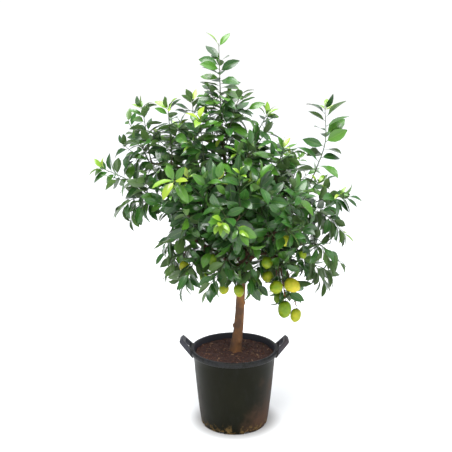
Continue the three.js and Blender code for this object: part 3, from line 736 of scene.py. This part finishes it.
CHIP_SHADES = [
    (0.08, 0.036, 0.026), (0.11, 0.05, 0.034), (0.15, 0.072, 0.048), (0.09, 0.04, 0.028),
    (0.18, 0.095, 0.062), (0.05, 0.024, 0.018), (0.07, 0.032, 0.024), (0.12, 0.055, 0.04),
    (0.1, 0.046, 0.032), (0.06, 0.03, 0.022), (0.14, 0.07, 0.045), (0.26, 0.16, 0.1),
]
SOIL_EDGE = wall_radius(SOIL_LEVEL) - WALL + 0.5


def soil_surface():
    """The top of the soil, mounded to the trunk and clodded, with a skirt down the wall."""
    rings = [(SOIL_EDGE - 4, SOIL_LEVEL - 30), (SOIL_EDGE, SOIL_LEVEL - 24), (SOIL_EDGE, SOIL_LEVEL - 2)]
    rings += [(SOIL_EDGE * share, SOIL_LEVEL + SOIL_MOUND * (1 - 0.45 * share**2) - 3 * share**12)
              for share in [0.985 - 0.03 * step for step in range(32)]]
    soil = turned("soil_surface", rings, 150)
    for texture, depth in ((clouds("soil_clods", 0.03), 9), (clouds("soil_crumbs", 0.008, 2), 4)):
        modify(soil, "DISPLACE", texture=texture, texture_coords="LOCAL", direction="Z",
               strength=depth * MM, mid_level=0.5)
    smooth(soil, 50)
    return soil


def chip_pattern():
    """A flat bark chip one unit long, narrower at one end."""
    chip = new_primitive("chip", bpy.ops.mesh.primitive_cube_add, size=1, scale=(1, 0.55, 0.2))
    edit(chip)
    bpy.ops.mesh.select_all(action="SELECT")
    bpy.ops.mesh.bevel(offset=0.07, segments=1)
    pick(chip, lambda place: place.x > 0.3)
    bpy.ops.transform.resize(value=(1, 0.6, 0.8))
    done()
    pattern = Pattern(chip)
    bpy.data.objects.remove(chip)
    return pattern


def make_soil():
    soil = soil_surface()
    finish_piece(soil, soil_finish(), "bark_mulch", "potting_soil")
    ground = BVHTree.FromObject(soil, bpy.context.evaluated_depsgraph_get())
    draw = random.Random(11)
    foot, spread = Vector(TRUNK_LINE[1]) * MM, (SOIL_EDGE - 7) * MM
    stamps = []
    for _ in range(CHIP_COUNT):
        angle, share = draw.uniform(0, 2 * math.pi), draw.random() ** 0.5
        x, y = math.cos(angle) * share * spread, math.sin(angle) * share * spread
        if math.hypot(x - foot.x, y - foot.y) < (COLLAR_RADIUS + 5) * MM:
            continue
        hit, normal, _, _ = ground.ray_cast(Vector((x, y, 1)), -UP)
        size = draw.uniform(*CHIP_SIZE) * MM
        lie = (normal + Vector((draw.gauss(0, 0.35), draw.gauss(0, 0.35), 0))).normalized()
        turn = lie.to_track_quat("Z", "Y").to_matrix().to_4x4()
        turn = turn @ Matrix.Rotation(draw.uniform(0, 6.28), 4, "Z")
        shape = Matrix.Diagonal((size, size * draw.uniform(0.6, 1.2), size * draw.uniform(0.7, 1.3), 1))
        shade = draw.choice(CHIP_SHADES)
        stamps.append((np.array(Matrix.Translation(hit + lie * size * 0.06) @ turn @ shape), shade))
    chips = chip_pattern().scattered("mulch_chips", stamps)
    finish_piece(chips, chip_finish(), "bark_mulch", "potting_soil")


class Pattern:
    """A small mesh modelled once, stamped many times into one piece with its own mesh."""

    def __init__(self, piece):
        mesh = piece.data
        self.points = np.array([vertex.co[:] for vertex in mesh.vertices])
        self.faces = [tuple(face.vertices) for face in mesh.polygons]
        self.corners = sum(len(face) for face in self.faces)
        layer = mesh.uv_layers.active
        self.uv = np.array([corner.uv[:] for corner in layer.data]) if layer else None

    def scattered(self, name, stamps):
        """Each stamp is a placing matrix and a shade."""
        sets = [(self.points @ matrix[:3, :3].T + matrix[:3, 3], shade) for matrix, shade in stamps]
        shades = [[(*shade, 1)] * self.corners for _, shade in sets]
        return self.built(name, [points for points, _ in sets], shades)

    def built(self, name, point_sets, shades):
        count = len(self.points)
        faces = [tuple(index + count * turn for index in face)
                 for turn in range(len(point_sets)) for face in self.faces]
        mesh = bpy.data.meshes.new(name)
        mesh.from_pydata(np.concatenate(point_sets), [], faces)
        tint = mesh.color_attributes.new("tint", "FLOAT_COLOR", "CORNER")
        tint.data.foreach_set("color", np.array(shades, dtype=np.float32).ravel())
        piece = bpy.data.objects.new(name, mesh)
        bpy.context.scene.collection.objects.link(piece)
        return piece


# ---------------------------------------------------------------- wood


# height above the soil, bearing round the trunk and radius
KNOTS = [(112, math.radians(190), 9), (225, math.radians(-20), 7),
         (300, math.radians(240), 8), (40, math.radians(-60), 9)]
# each root as shares of its reach and depths below the soil
ROOT_COURSE = [(0.1, 12), (0.3, 8), (0.6, 22), (1, 60)]


def root_line(index):
    angle = (index + 0.3) * 2 * math.pi / ROOT_COUNT
    right, back, _ = TRUNK_LINE[0]
    over, along = math.cos(angle) * ROOT_REACH, math.sin(angle) * ROOT_REACH
    return curve_through([grown((right + over * reach, back + along * reach, -depth))
                          for reach, depth in ROOT_COURSE], 12)


def wood_lines():
    """The trunk, the limbs, the roots, and a spur to each shoot and fruit."""
    lines = [(trunk_line, [trunk_radius(place) for place in trunk_line])]
    for name, (_, girth) in LIMBS.items():
        lines.append(tapered(limb_lines[name], LIMB_RADIUS * girth, SPUR_RADIUS * 1.15))
    for index in range(ROOT_COUNT):
        lines.append(tapered(root_line(index), ROOT_RADIUS * 1.2, ROOT_RADIUS * 0.4))
    for name, (limb, *_) in SHOOTS.items():
        base, onward = shoot_lines[name][:2]
        lines.append(tapered(spur_line(limb, base, (onward - base).normalized()),
                             SPUR_RADIUS * 1.15, SPUR_RADIUS * 0.85))
    for limb, centre, size, *_ in LEMONS.values():
        lines.append(tapered(spur_line(limb, lemon_seat(centre, size), -UP), SPUR_RADIUS, SPUR_RADIUS * 0.7))
    return lines


def knot(height, bearing, size):
    level = grown((0, 0, height)).z
    place = min(trunk_line, key=lambda point: abs(point.z - level))
    out = Vector((math.cos(bearing), math.sin(bearing), 0))
    return new_primitive("knot", bpy.ops.mesh.primitive_uv_sphere_add, segments=16, ring_count=10,
                         radius=size * MM, location=place + out * (trunk_radius(place) - size * 0.35 * MM),
                         scale=(1, 1, 1.3))


def make_wood():
    wood = join("lemon_trunk", [*(knot(*row) for row in KNOTS), rods("wood", wood_lines(), 3)])
    modify(wood, "REMESH", mode="VOXEL", voxel_size=WOOD_VOXEL * MM, adaptivity=0)
    modify(wood, "SMOOTH", factor=0.5, iterations=3)
    modify(wood, "DISPLACE", texture=clouds("bark_swell", 0.035, 2), texture_coords="LOCAL",
           strength=2.2 * MM, mid_level=0.5)
    smooth(wood, 80)
    finish_piece(wood, bark_finish(), "tree_bark", "trunk")
    return wood


shoot_lines = {name: shoot_line(name) for name in SHOOTS}

# ---------------------------------------------------------------- fruit


# radius and height as shares of the half width and half length, from the nipple up
LEMON_PROFILE = [
    (0.05, -1.0), (0.14, -0.985), (0.22, -0.95), (0.35, -0.895), (0.54, -0.8), (0.76, -0.63), (0.92, -0.38),
    (0.99, -0.12), (1.0, 0.12), (0.96, 0.38), (0.84, 0.61), (0.65, 0.78), (0.43, 0.885), (0.23, 0.925),
    (0.08, 0.91),
]
STALK_RADII = (2.4, 2.1, 1.9, 1.8, 1.7, 1.7, 1.8, 2.0, 2.4)
# how much riper the nipple is than the stalk end
RIPENING = 0.12


def lemon_seat(centre, size):
    """Where a fruit's stalk meets its spur."""
    return grown(centre) + UP * (LEMON_LENGTH * size / 2 + LEMON_STALK) * MM


def calyx_star():
    """A cap of five points round the foot of the stalk."""
    calyx = turned("calyx", [(1.2, -1.2), (3.4, -0.8), (CALYX_RADIUS - 0.2, 0.3), (CALYX_RADIUS, 0.9),
                             (3.2, 1.0), (2.2, 2.6), (1.6, 4.5)], 10)
    edit(calyx)
    pick(calyx, lambda place: math.hypot(place.x, place.y) > 5 * MM
         and round(math.degrees(math.atan2(place.y, place.x)) / 36) % 2 == 0)
    bpy.ops.transform.resize(value=(0.62, 0.62, 1), center_override=(0, 0, 0))
    done()
    return calyx


def copy_of(pattern, name, placing):
    """A copy with its own mesh, put in its place."""
    piece = bpy.data.objects.new(name, pattern.data.copy())
    bpy.context.scene.collection.objects.link(piece)
    piece.data.transform(placing)
    return piece


def ripened(fruit, ripe, length):
    """Writes how ripe each point of the fruit is."""
    lowest = min(vertex.co.z for vertex in fruit.data.vertices)
    ripeness = fruit.data.attributes.new("ripe", "FLOAT", "POINT")
    ripeness.data.foreach_set("value", [
        ripe + RIPENING * (0.5 - (vertex.co.z - lowest) / length) for vertex in fruit.data.vertices])


def make_lemons():
    """Makes every fruit with its stalk and calyx, and returns the fruit as trees for testing leaves."""
    draw = random.Random(5)
    pattern = turned("lemon", [(radius * LEMON_RADIUS, height * LEMON_LENGTH / 2)
                               for radius, height in LEMON_PROFILE], 18)
    modify(pattern, "SUBSURF", levels=1, render_levels=1)
    calyx = calyx_star()
    rind, trees = rind_finish(), []
    for name, (_, centre, size, ripe, girth, stretch, lean) in LEMONS.items():
        middle, seat = grown(centre), lemon_seat(centre, size)
        length = LEMON_LENGTH * size * stretch * MM
        swing = Matrix.Rotation(lean, 4, "Y") @ Matrix.Rotation(draw.uniform(-0.25, 0.25), 4, "X")
        turn = Matrix.Translation(middle) @ swing @ Matrix.Rotation(draw.uniform(0, 2 * math.pi), 4, "Z")
        fruit = copy_of(pattern, name + "_fruit",
                        turn @ Matrix.Diagonal((size * girth, size * girth, size * stretch, 1)))
        ripened(fruit, ripe, length)
        smooth(fruit, 80)
        finish_piece(fruit, rind, "lemon_rind", name)
        trees.append(BVHTree.FromObject(fruit, bpy.context.evaluated_depsgraph_get()))

        top = turn @ Vector((0, 0, length * 0.455))
        bend = top + (top - middle).normalized() * (7 + 10 * abs(lean)) * MM
        stalk = rods(name + "_stalk", [(curve_through([seat + UP * 3 * MM, bend, top], 8),
                                        [radius * MM for radius in STALK_RADII])])
        star = copy_of(calyx, "calyx", turn @ Matrix.Translation((0, 0, length * 0.457)))
        stalk = join(name + "_stalk", [star, stalk])
        smooth(stalk, 50)
        finish_piece(stalk, stem_material, "tree_bark", name)
    for spare in (pattern, calyx):
        bpy.data.objects.remove(spare)
    return trees


# ---------------------------------------------------------------- leaves
# One blade is modelled flat; every leaf is that blade, bent, folded and turned its own way.

# share of the length, and half the width there as a share of the length
BLADE_ROWS = [(0, 0.011), (0.12, 0.014), (0.2, 0.09), (0.36, 0.182), (0.56, 0.21), (0.76, 0.158),
              (0.91, 0.068), (1, 0.006)]
BLADE_COLUMNS = 4
BLADE_THICKNESS = 0.012
SEAM = 0.0005
NEAR = 1e-4
SHADES = {
    "deep": (0.014, 0.056, 0.01), "dark": (0.025, 0.096, 0.013), "green": (0.05, 0.155, 0.014),
    "fresh": (0.07, 0.19, 0.018), "lime": (0.17, 0.32, 0.02), "gold": (0.25, 0.36, 0.03),
}
UNDERSIDE = (0.17, 0.24, 0.1)
UNDERSIDE_SHARE = 0.45
ATLAS_GAP = 0.006


def blade_pattern():
    """A closed blade along X, one unit long: the grid is the upper face, its lowered copy the underside."""
    blade = new_primitive("blade", bpy.ops.mesh.primitive_grid_add, x_subdivisions=len(BLADE_ROWS) - 1,
                          y_subdivisions=BLADE_COLUMNS, size=1, location=(0.5, 0, 0), calc_uvs=True)
    blade.data.uv_layers[0].name = "blade"
    step = 1 / (len(BLADE_ROWS) - 1)
    edit(blade)
    for index, (share, half) in enumerate(BLADE_ROWS):
        pick(blade, lambda place: abs(place.x - index * step) < NEAR and place.z < 0.5)
        bpy.ops.transform.resize(value=(1, half * 2, 1), center_override=(0, 0, 0))
        bpy.ops.transform.translate(value=(share - index * step, 0, 1))
    bpy.ops.mesh.select_all(action="SELECT")
    bpy.ops.transform.translate(value=(0, 0, -1))
    bpy.ops.mesh.duplicate()
    bpy.ops.mesh.flip_normals()
    bpy.ops.transform.translate(value=(0, 0, -SEAM))
    sides = dict(BLADE_ROWS)
    pick(blade, lambda place: min(place.x, 1 - place.x) < NEAR
         or any(abs(place.x - share) < NEAR and abs(place.y) > half - NEAR for share, half in sides.items()))
    bpy.ops.mesh.remove_doubles(threshold=SEAM * 1.5)
    pick(blade, lambda place: place.z < -SEAM / 2 and sides.get(round(place.x, 3), 0) - abs(place.y) > NEAR)
    bpy.ops.transform.translate(value=(0, 0, -BLADE_THICKNESS))
    pick(blade, lambda place: abs(place.z) < 2 * SEAM)
    bpy.ops.transform.resize(value=(1, 1, 0))
    done()
    return blade


def leaf_shades(pattern):
    """For each shade, the tint of every corner and its place in the atlas: tops left, undersides right."""
    upper = np.concatenate([[faces_up] * size for faces_up, size in pattern.sides])
    cell = np.array([0.5, 1 / len(SHADES)])
    shades, atlas = [], []
    for index, top in enumerate(SHADES.values()):
        below = [(1 - UNDERSIDE_SHARE) * part + UNDERSIDE_SHARE * pale for part, pale in zip(top, UNDERSIDE)]
        shades.append(np.where(upper[:, None], (*top, 0.0), (*below, 1.0)))
        corner = np.stack([np.where(upper, 0.0, 0.5), np.full(len(upper), index / len(SHADES))], 1)
        atlas.append(corner + ATLAS_GAP + pattern.uv * (cell - 2 * ATLAS_GAP))
    return shades, atlas


class LeafPattern(Pattern):
    def __init__(self, piece):
        super().__init__(piece)
        self.sides = [(face.normal.z > 0, len(face.vertices)) for face in piece.data.polygons]
        self.test_faces = [tuple(face.vertices) for face in piece.data.polygons
                           if face.normal.z > 0 and face.center.x > BLADE_ROWS[2][0]]
        self.shades, self.atlas = leaf_shades(self)

    def bent(self, length, breadth, fold, bend, twist, wave, phase):
        """The blade with its sides folded up, its tip bent down and its edges waved, in metres."""
        along, across, through = self.points.T
        across = across * breadth
        open_blade = np.clip((along - 0.12) / 0.25, 0, 1)
        through = through + np.abs(across) * math.tan(fold) * open_blade * (1 - 0.5 * along)
        through = through + wave * np.abs(across) * np.sin(9 * along + phase) * np.sign(across + 1e-9)
        turned_by = twist * along
        across, through = (across * np.cos(turned_by) - through * np.sin(turned_by),
                           across * np.sin(turned_by) + through * np.cos(turned_by))
        steps = np.linspace(0, 1, 25)
        angle = bend * steps**1.3
        run = np.concatenate([[0], np.cumsum(np.cos(angle[1:]) * steps[1])])
        drop = np.concatenate([[0], np.cumsum(np.sin(angle[1:]) * steps[1])])
        here = bend * along**1.3
        x = np.interp(along, steps, run) + through * np.sin(here)
        z = -np.interp(along, steps, drop) + through * np.cos(here)
        return np.stack([x, across, z], 1) * length

    def leafy(self, name, leaves):
        """One piece of many leaves, each with its points and its class."""
        piece = self.built(name, [points for points, _ in leaves],
                           np.concatenate([self.shades[shade] for _, shade in leaves]))
        blade = piece.data.uv_layers.new(name="blade")
        blade.data.foreach_set("uv", np.concatenate([self.uv] * len(leaves)).ravel())
        atlas = piece.data.uv_layers.new(name="OFBake")
        atlas.data.foreach_set("uv", np.concatenate([self.atlas[shade] for _, shade in leaves]).ravel())
        return piece


GOLDEN_ANGLE = math.pi * (3 - math.sqrt(5))
CELL = 0.05
ROOM = 0.012
TRIES = 5
CROWN_AXIS = grown((-10, 10, 700))
# shades of the grown leaves, by their order in SHADES: darker where the crown shades them
HIGH_SHADES = (0, 0, 0, 1, 1, 1, 1, 2, 2, 2, 3)
LOW_SHADES = (0, 0, 0, 0, 1, 1, 1, 1, 1, 2, 3)
YOUNG_SHADES = (3, 4, 4, 4, 5, 5)
SHADED_BELOW = 1.1
# the fruit that hangs free of the leaves towards the front, and how much of its radius stays clear
SHOWN_FRUIT = {
    "lemon_right_1": 0.7, "lemon_right_2": 0.9, "lemon_right_3": 1.0, "lemon_right_4": 1.1,
    "lemon_right_6": 1.1, "lemon_right_7": 1.1, "lemon_inner_3": 0.8, "lemon_inner_2": 0.6,
    "lemon_left_1": 0.3, "lemon_left_2": 0.3, "lemon_front_1": 0.3,
}
FRUIT_FACES = np.array(Vector((-0.05, -1, 0.23)).normalized())


def frame_of(direction, facing):
    """A turn whose X is the direction and whose Z is as near as it can be to facing."""
    x = direction.normalized()
    z = (facing - x * facing.dot(x)).normalized()
    return Matrix((x, z.cross(x), z)).transposed()


def scatter(draw, spread):
    return Vector([draw.gauss(0, spread) for _ in range(3)])


def side_of(tangent, turn):
    """A direction square to a stem, turned round it. At a quarter turn it points right or left."""
    side = tangent.cross(UP if abs(tangent.z) < 0.9 else Vector((1, 0, 0))).normalized()
    return Matrix.Rotation(turn, 3, tangent) @ side


def leaf_stations(line, first, spacing, draw):
    """Places and directions along a stem, with how far along they are."""
    reach = np.cumsum([0] + [(q - p).length for p, q in zip(line, line[1:])])
    where = reach[-1] * first
    while where < reach[-1]:
        index = min(int(np.searchsorted(reach, where, "right")) - 1, len(line) - 2)
        part = (where - reach[index]) / (reach[index + 1] - reach[index])
        yield (line[index].lerp(line[index + 1], part), (line[index + 1] - line[index]).normalized(),
               where / reach[-1])
        where += spacing * MM * draw.uniform(0.75, 1.25)


class Crown:
    """Grows leaves where there is room: none grows through another or a stem, or hides shown fruit."""

    def __init__(self, pattern, solids):
        self.pattern = pattern
        self.solids = solids
        self.cells = {}
        self.shown = [(np.array(grown(centre)), SHOWN_FRUIT[name] * LEMON_RADIUS * size * MM)
                      for name, (_, centre, size, *_) in LEMONS.items() if name in SHOWN_FRUIT]
        low, high = cad_box
        self.low, self.high = np.array(low) - ROOM, np.array(high) + ROOM

    def hides_fruit(self, points):
        for centre, radius in self.shown:
            offset = points - centre
            ahead = offset @ FRUIT_FACES
            aside = np.linalg.norm(offset - ahead[:, None] * FRUIT_FACES, axis=1)
            if ((ahead > 0) & (aside < radius)).any():
                return True
        return False

    def keys(self, points):
        """The cells of space that the points' box reaches."""
        low, high = np.floor(points.min(0) / CELL).astype(int), np.floor(points.max(0) / CELL).astype(int)
        return [(x, y, z) for x in range(low[0], high[0] + 1) for y in range(low[1], high[1] + 1)
                for z in range(low[2], high[2] + 1)]

    def takes(self, points):
        """Keeps the place for a leaf if it is free."""
        if (points.min(0) < self.low).any() or (points.max(0) > self.high).any():
            return False
        if self.hides_fruit(points):
            return False
        blade = BVHTree.FromPolygons([tuple(point) for point in points], self.pattern.test_faces)
        keys = self.keys(points)
        near = {id(other): other for key in keys for other in self.cells.get(key, ())}
        if any(blade.overlap(other) for other in (*self.solids, *near.values())):
            return False
        for key in keys:
            self.cells.setdefault(key, []).append(blade)
        return True

    def leaf(self, place, direction, facing, length, breadth, draw, bend=(5, 55)):
        """Tries to grow one leaf, and returns its points, or None where it has no room."""
        points = self.pattern.bent(
            length * MM, breadth, fold=math.radians(draw.uniform(4, 28)),
            bend=math.radians(draw.uniform(*bend)), twist=math.radians(draw.gauss(0, 14)),
            wave=draw.uniform(0, 0.12), phase=draw.uniform(0, 2 * math.pi))
        points = points @ np.array(frame_of(direction, facing)).T + np.array(place)
        return points if self.takes(points) else None

    def leaves_along(self, line, first, spacing, draw, hang=False, flat=False, scale=1.0, last=1.0):
        """Leaves round a stem, or in two ranks: larger low down, more upright at its tip."""
        leaves, turn = [], math.pi / 2 if flat else draw.uniform(0, 2 * math.pi)
        for place, tangent, along in leaf_stations(line, first, spacing, draw):
            if along > last:
                break
            turn += math.pi if flat else GOLDEN_ANGLE
            for _ in range(TRIES):
                radial = side_of(tangent, turn + draw.gauss(0, 0.8 if flat else 0.4))
                opening = math.radians(((84 if flat else 72) - 45 * along**2) * draw.uniform(0.7, 1.15))
                droop = draw.uniform(0.05, 0.5) * (1 - along * 0.7) + (0.5 if hang else 0)
                direction = tangent * math.cos(opening) + radial * math.sin(opening) - UP * droop
                outward = (place - CROWN_AXIS).normalized()
                facing = UP * 0.6 + outward * (0.85 if hang else 0.8) + tangent * 0.2
                facing += scatter(draw, 0.5)
                if flat:
                    facing += Vector((0, draw.choice((-1.1, -0.8, 0.6)), 0))
                length = draw.uniform(*LEAF_LENGTH) * scale * (1.06 - 0.32 * along**3)
                leaf = self.leaf(place, direction.normalized(), facing, length, draw.uniform(0.9, 1.16), draw)
                if leaf is not None:
                    leaves.append((leaf, draw.choice(HIGH_SHADES if place.z > SHADED_BELOW else LOW_SHADES)))
                    break
        return leaves

    def rosette(self, line, draw, count, scale=1.0, droop=0.0):
        """A tuft of small young leaves at the end of a stem. Fewer than four stand right and left."""
        full = count > 3
        leaves, turn = [], draw.uniform(0, 2 * math.pi) if full else math.pi / 2
        tangent = (line[-1] - line[-2]).normalized()
        for index in range(count):
            turn += GOLDEN_ANGLE if full else math.pi
            share = index / count
            opening = math.radians(62 - 48 * share if full else 42 - 30 * share)
            place = line[-1] - tangent * (1 - share) * 14 * MM
            radial = side_of(tangent, turn)
            direction = tangent * math.cos(opening) + radial * math.sin(opening) + UP * (0.15 - droop)
            facing = UP + tangent * 0.5 + scatter(draw, 0.4) - Vector((0, 0.4, 0))
            leaf = self.leaf(place, direction, facing, draw.uniform(*BUD_LEAF_LENGTH) * scale,
                             draw.uniform(0.75, 0.95), draw, bend=(10, 75))
            if leaf is not None:
                leaves.append((leaf, draw.choice(YOUNG_SHADES)))
        return leaves


# ---------------------------------------------------------------- shoots and twigs

# upright shoots with their leaves in two ranks: how far up they bear side twigs, where their own leaves
# start and end, the spacing of the leaves in millimetres and their size
SPIRES = {
    "top_leader": (0.36, 0.06, 0.83, 8.5, 1.02), "right_tall": (0.2, 0.3, 1, 17, 1.25),
    "left_crest": (0.4, 0.1, 1, 14, 1.05), "left_spire": (0.4, 0.1, 1, 14, 1.0),
    "left_inner": (0.5, 0.1, 1, 14, 1.0), "front_gold": (0.45, 0.1, 1, 14, 1.0),
    "left_far": (0.6, 0.1, 1, 14, 1.0), "left_fan": (0.35, 0.05, 1, 13, 0.85),
    "right_crest": (0.12, 0.5, 1, 13, 0.8),
}
BUSHY = (0.74, 0.1, 1, LEAF_SPACING, 1.0)
# how many young leaves a tuft has, their size and how far they droop, where it isn't the usual
TUFTS = {
    "top_leader": (3, 1.35, 0), "front_left_gold": (5, 1.95, 0.95), "front_cluster": (9, 1.3, 0.15),
    "right_crest": (8, 1.25, 0.05), "right_gold": (6, 1.15, 0), "left_crest": (6, 1.15, 0),
    "left_spire": (5, 1.15, 0), "front_gold": (5, 1.35, 0), "left_far": (3, 1.25, 0),
}
YOUNG = 0.3
VERY_YOUNG = 0.8
# spacing of the side twigs
SIDE_TWIGS = 50
MIDDLE_TWIGS = 40
INNER_TWIGS = 17
SPRAY_TWIGS = 26
LONG_SPUR = 90


def twig_from(start, direction, length, draw, hang):
    """A side twig: it leaves along the direction and is drawn up, or hangs."""
    pull = Vector((draw.gauss(0, 0.15), draw.gauss(0, 0.15), -0.5 if hang else 0.45))
    middle = start + direction * length * 0.5 + pull * length * 0.08
    return curve_through([start, middle, start + (direction + pull * 0.5).normalized() * length], 6)


def side_twigs(line, first, spacing, last, length, draw, hang):
    """Twigs round a stem or a limb, shorter towards its tip."""
    twigs, turn = [], draw.uniform(0, 2 * math.pi)
    for place, tangent, along in leaf_stations(line, first, spacing, draw):
        if along > last:
            break
        turn += GOLDEN_ANGLE
        direction = (tangent * 0.6 + side_of(tangent, turn) + UP * (-0.1 if hang else 0.27)).normalized()
        reach = draw.uniform(*length) * MM * (1.05 - 0.5 * along)
        twigs.append(twig_from(place, direction, reach, draw, hang))
    return twigs


def plan_foliage():
    """Every leafy stem: its main line if it has one, its side twigs, how young it is and whether it hangs."""
    plans = {}
    for number, (name, (_, base, tip, _, youth)) in enumerate(SHOOTS.items()):
        draw = random.Random(100 + number)
        hang = tip[2] < base[2] + 20
        line = shoot_lines[name]
        spacing = SIDE_TWIGS if name.startswith(("left", "right")) else MIDDLE_TWIGS
        twigs = side_twigs(line, 0.08, spacing, SPIRES.get(name, BUSHY)[0], TWIG_LENGTH, draw, hang)
        plans["shoot_" + name] = (line, twigs, youth, hang)
    for number, (limb, line) in enumerate(limb_lines.items()):
        draw = random.Random(300 + number)
        first = 0.48 if limb == "trunk" else 0.26
        twigs = side_twigs(line, first, INNER_TWIGS, 1, INNER_TWIG_LENGTH, draw, False)
        plans[limb + "_inner"] = (None, twigs, 0, False)
    draw = random.Random(700)
    for name, (limb, centre, size, *_) in LEMONS.items():
        spur = even(spur_line(limb, lemon_seat(centre, size), -UP), 12)
        if (spur[-1] - spur[0]).length > LONG_SPUR * MM:
            twigs = side_twigs(spur, 0.35, SPRAY_TWIGS, 1, SPRAY_TWIG_LENGTH, draw, True)
            plans[name + "_spray"] = (None, twigs, 0, True)
    return plans


def make_stems(plans):
    """One piece of stems for each plan, by its name."""
    stems = {}
    for name, (line, twigs, _, _) in plans.items():
        lines = [tapered(line, SHOOT_RADIUS, SHOOT_TIP_RADIUS)] if line else []
        lines += [tapered(twig, SHOOT_RADIUS * 0.7, SHOOT_TIP_RADIUS * 0.8) for twig in twigs]
        stems[name] = rods(name + "_stems", lines, 1)
    return stems


def make_foliage(crown, plans, stems):
    """Grows the leaves of every plan, and finishes them and their stems."""
    leaf_material = leaf_finish()
    for number, (name, (line, twigs, youth, hang)) in enumerate(plans.items()):
        draw = random.Random(500 + number)
        shoot = name.removeprefix("shoot_")
        leaves = []
        if line:
            _, first, last, spacing, scale = SPIRES.get(shoot, BUSHY)
            if youth >= YOUNG:
                leaves += crown.rosette(line, draw, *TUFTS.get(shoot, (round(2 + 5 * youth), 1.0, 0)))
            leaves += crown.leaves_along(line, first, spacing, draw, hang, shoot in SPIRES, scale, last)
        for twig in twigs:
            if draw.random() < youth * 0.6:
                leaves += crown.rosette(twig, draw, 4, 0.9)
            leaves += crown.leaves_along(twig, 0.15, LEAF_SPACING, draw, hang, scale=0.92)
        nodes = [name] if line else []
        leafy = crown.pattern.leafy(name + "_leaves", leaves)
        smooth(leafy, 60)
        finish_piece(leafy, leaf_material, "young_leaf" if youth >= VERY_YOUNG else "lemon_leaf", *nodes)
        smooth(stems[name], 60)
        finish_piece(stems[name], stem_material, "tree_bark", *nodes)


# ---------------------------------------------------------------- the whole

stem_material = green_stem_finish()
make_pot()
make_soil()
trunk = make_wood()
fruit_trees = make_lemons()

foliage = plan_foliage()
stem_pieces = make_stems(foliage)
graph = bpy.context.evaluated_depsgraph_get()
stem_trees = [BVHTree.FromObject(piece, graph) for piece in stem_pieces.values()]
solids = [BVHTree.FromObject(trunk, graph), *fruit_trees, *stem_trees]
blade_model = blade_pattern()
leaf_pattern = LeafPattern(blade_model)
bpy.data.objects.remove(blade_model)
make_foliage(Crown(leaf_pattern, solids), foliage, stem_pieces)

# ---------------------------------------------------------------- floor, light and camera

SKY_STRENGTH = 2.3
CAMERA_PLACE = (0, -3.0, 1.528)
CAMERA_DIP = math.radians(11.51)


def make_floor():
    """A pale floor with a painted contact shadow: greyer just round the pot's foot."""
    floor = new_primitive("floor", bpy.ops.mesh.primitive_plane_add, size=80)
    pale = Finish("pale_floor", Roughness=0.9)
    right, back, _ = pale.axes()
    away = pale.maths("POWER", pale.reach_squared(right, back), 0.5)
    # painted shadow: grey at the pot's foot, fading to the pale floor by 0.24 m out
    pale.colour(pale.ramp(pale.smoothstep(away, 0.15, 0.24),
                          (0.0, (0.46, 0.457, 0.453)), (1.0, (0.93, 0.93, 0.93))))
    floor.data.materials.append(pale.material)


def make_sky():
    """Up from the horizon: a white wall, a dimmer band above it, and a bright ceiling."""
    world = bpy.data.worlds.new("soft_studio")
    world.use_nodes = True
    bpy.context.scene.world = world
    sky = Nodes(world.node_tree)
    direction = sky.node("ShaderNodeTexCoord").outputs["Generated"]
    heights = sky.node("ShaderNodeSeparateXYZ", {"Vector": direction}).outputs[2]
    light = sky.ramp(heights, (0.0, (0.46, 0.46, 0.46)), (0.27, (0.46, 0.46, 0.46)),
                     (0.36, (0.17, 0.18, 0.19)), (0.62, (0.22, 0.23, 0.25)),
                     (0.85, (0.88, 0.9, 0.93)), (1.0, (0.98, 0.99, 1.0)))
    background = world.node_tree.nodes["Background"]
    sky.feed(background.inputs["Color"], light)
    background.inputs["Strength"].default_value = SKY_STRENGTH


def lamp(name, place, aim, size, power):
    light = bpy.data.lights.new(name, "AREA")
    light.size, light.energy = size, power
    holder = bpy.data.objects.new(name, light)
    holder.location = place
    holder.rotation_euler = (Vector(aim) - Vector(place)).to_track_quat("-Z", "Y").to_euler()
    bpy.context.scene.collection.objects.link(holder)


def make_camera():
    lens = bpy.data.cameras.new("camera")
    lens.sensor_width = 36
    lens.lens = 55.49
    lens.shift_x = -0.0184
    camera = bpy.data.objects.new("camera", lens)
    camera.location = CAMERA_PLACE
    camera.rotation_euler = (math.radians(90) - CAMERA_DIP, 0, 0)
    bpy.context.scene.collection.objects.link(camera)
    bpy.context.scene.camera = camera


make_floor()
make_sky()
lamp("overhead", (-0.35, -1.0, 4.3), (0, 0, 1.1), 2.6, 215)
lamp("front_fill", (1.8, -3.2, 2.4), (0, 0, 0.9), 2.0, 28)
make_camera()
bpy.context.scene.view_settings.view_transform = "Standard"
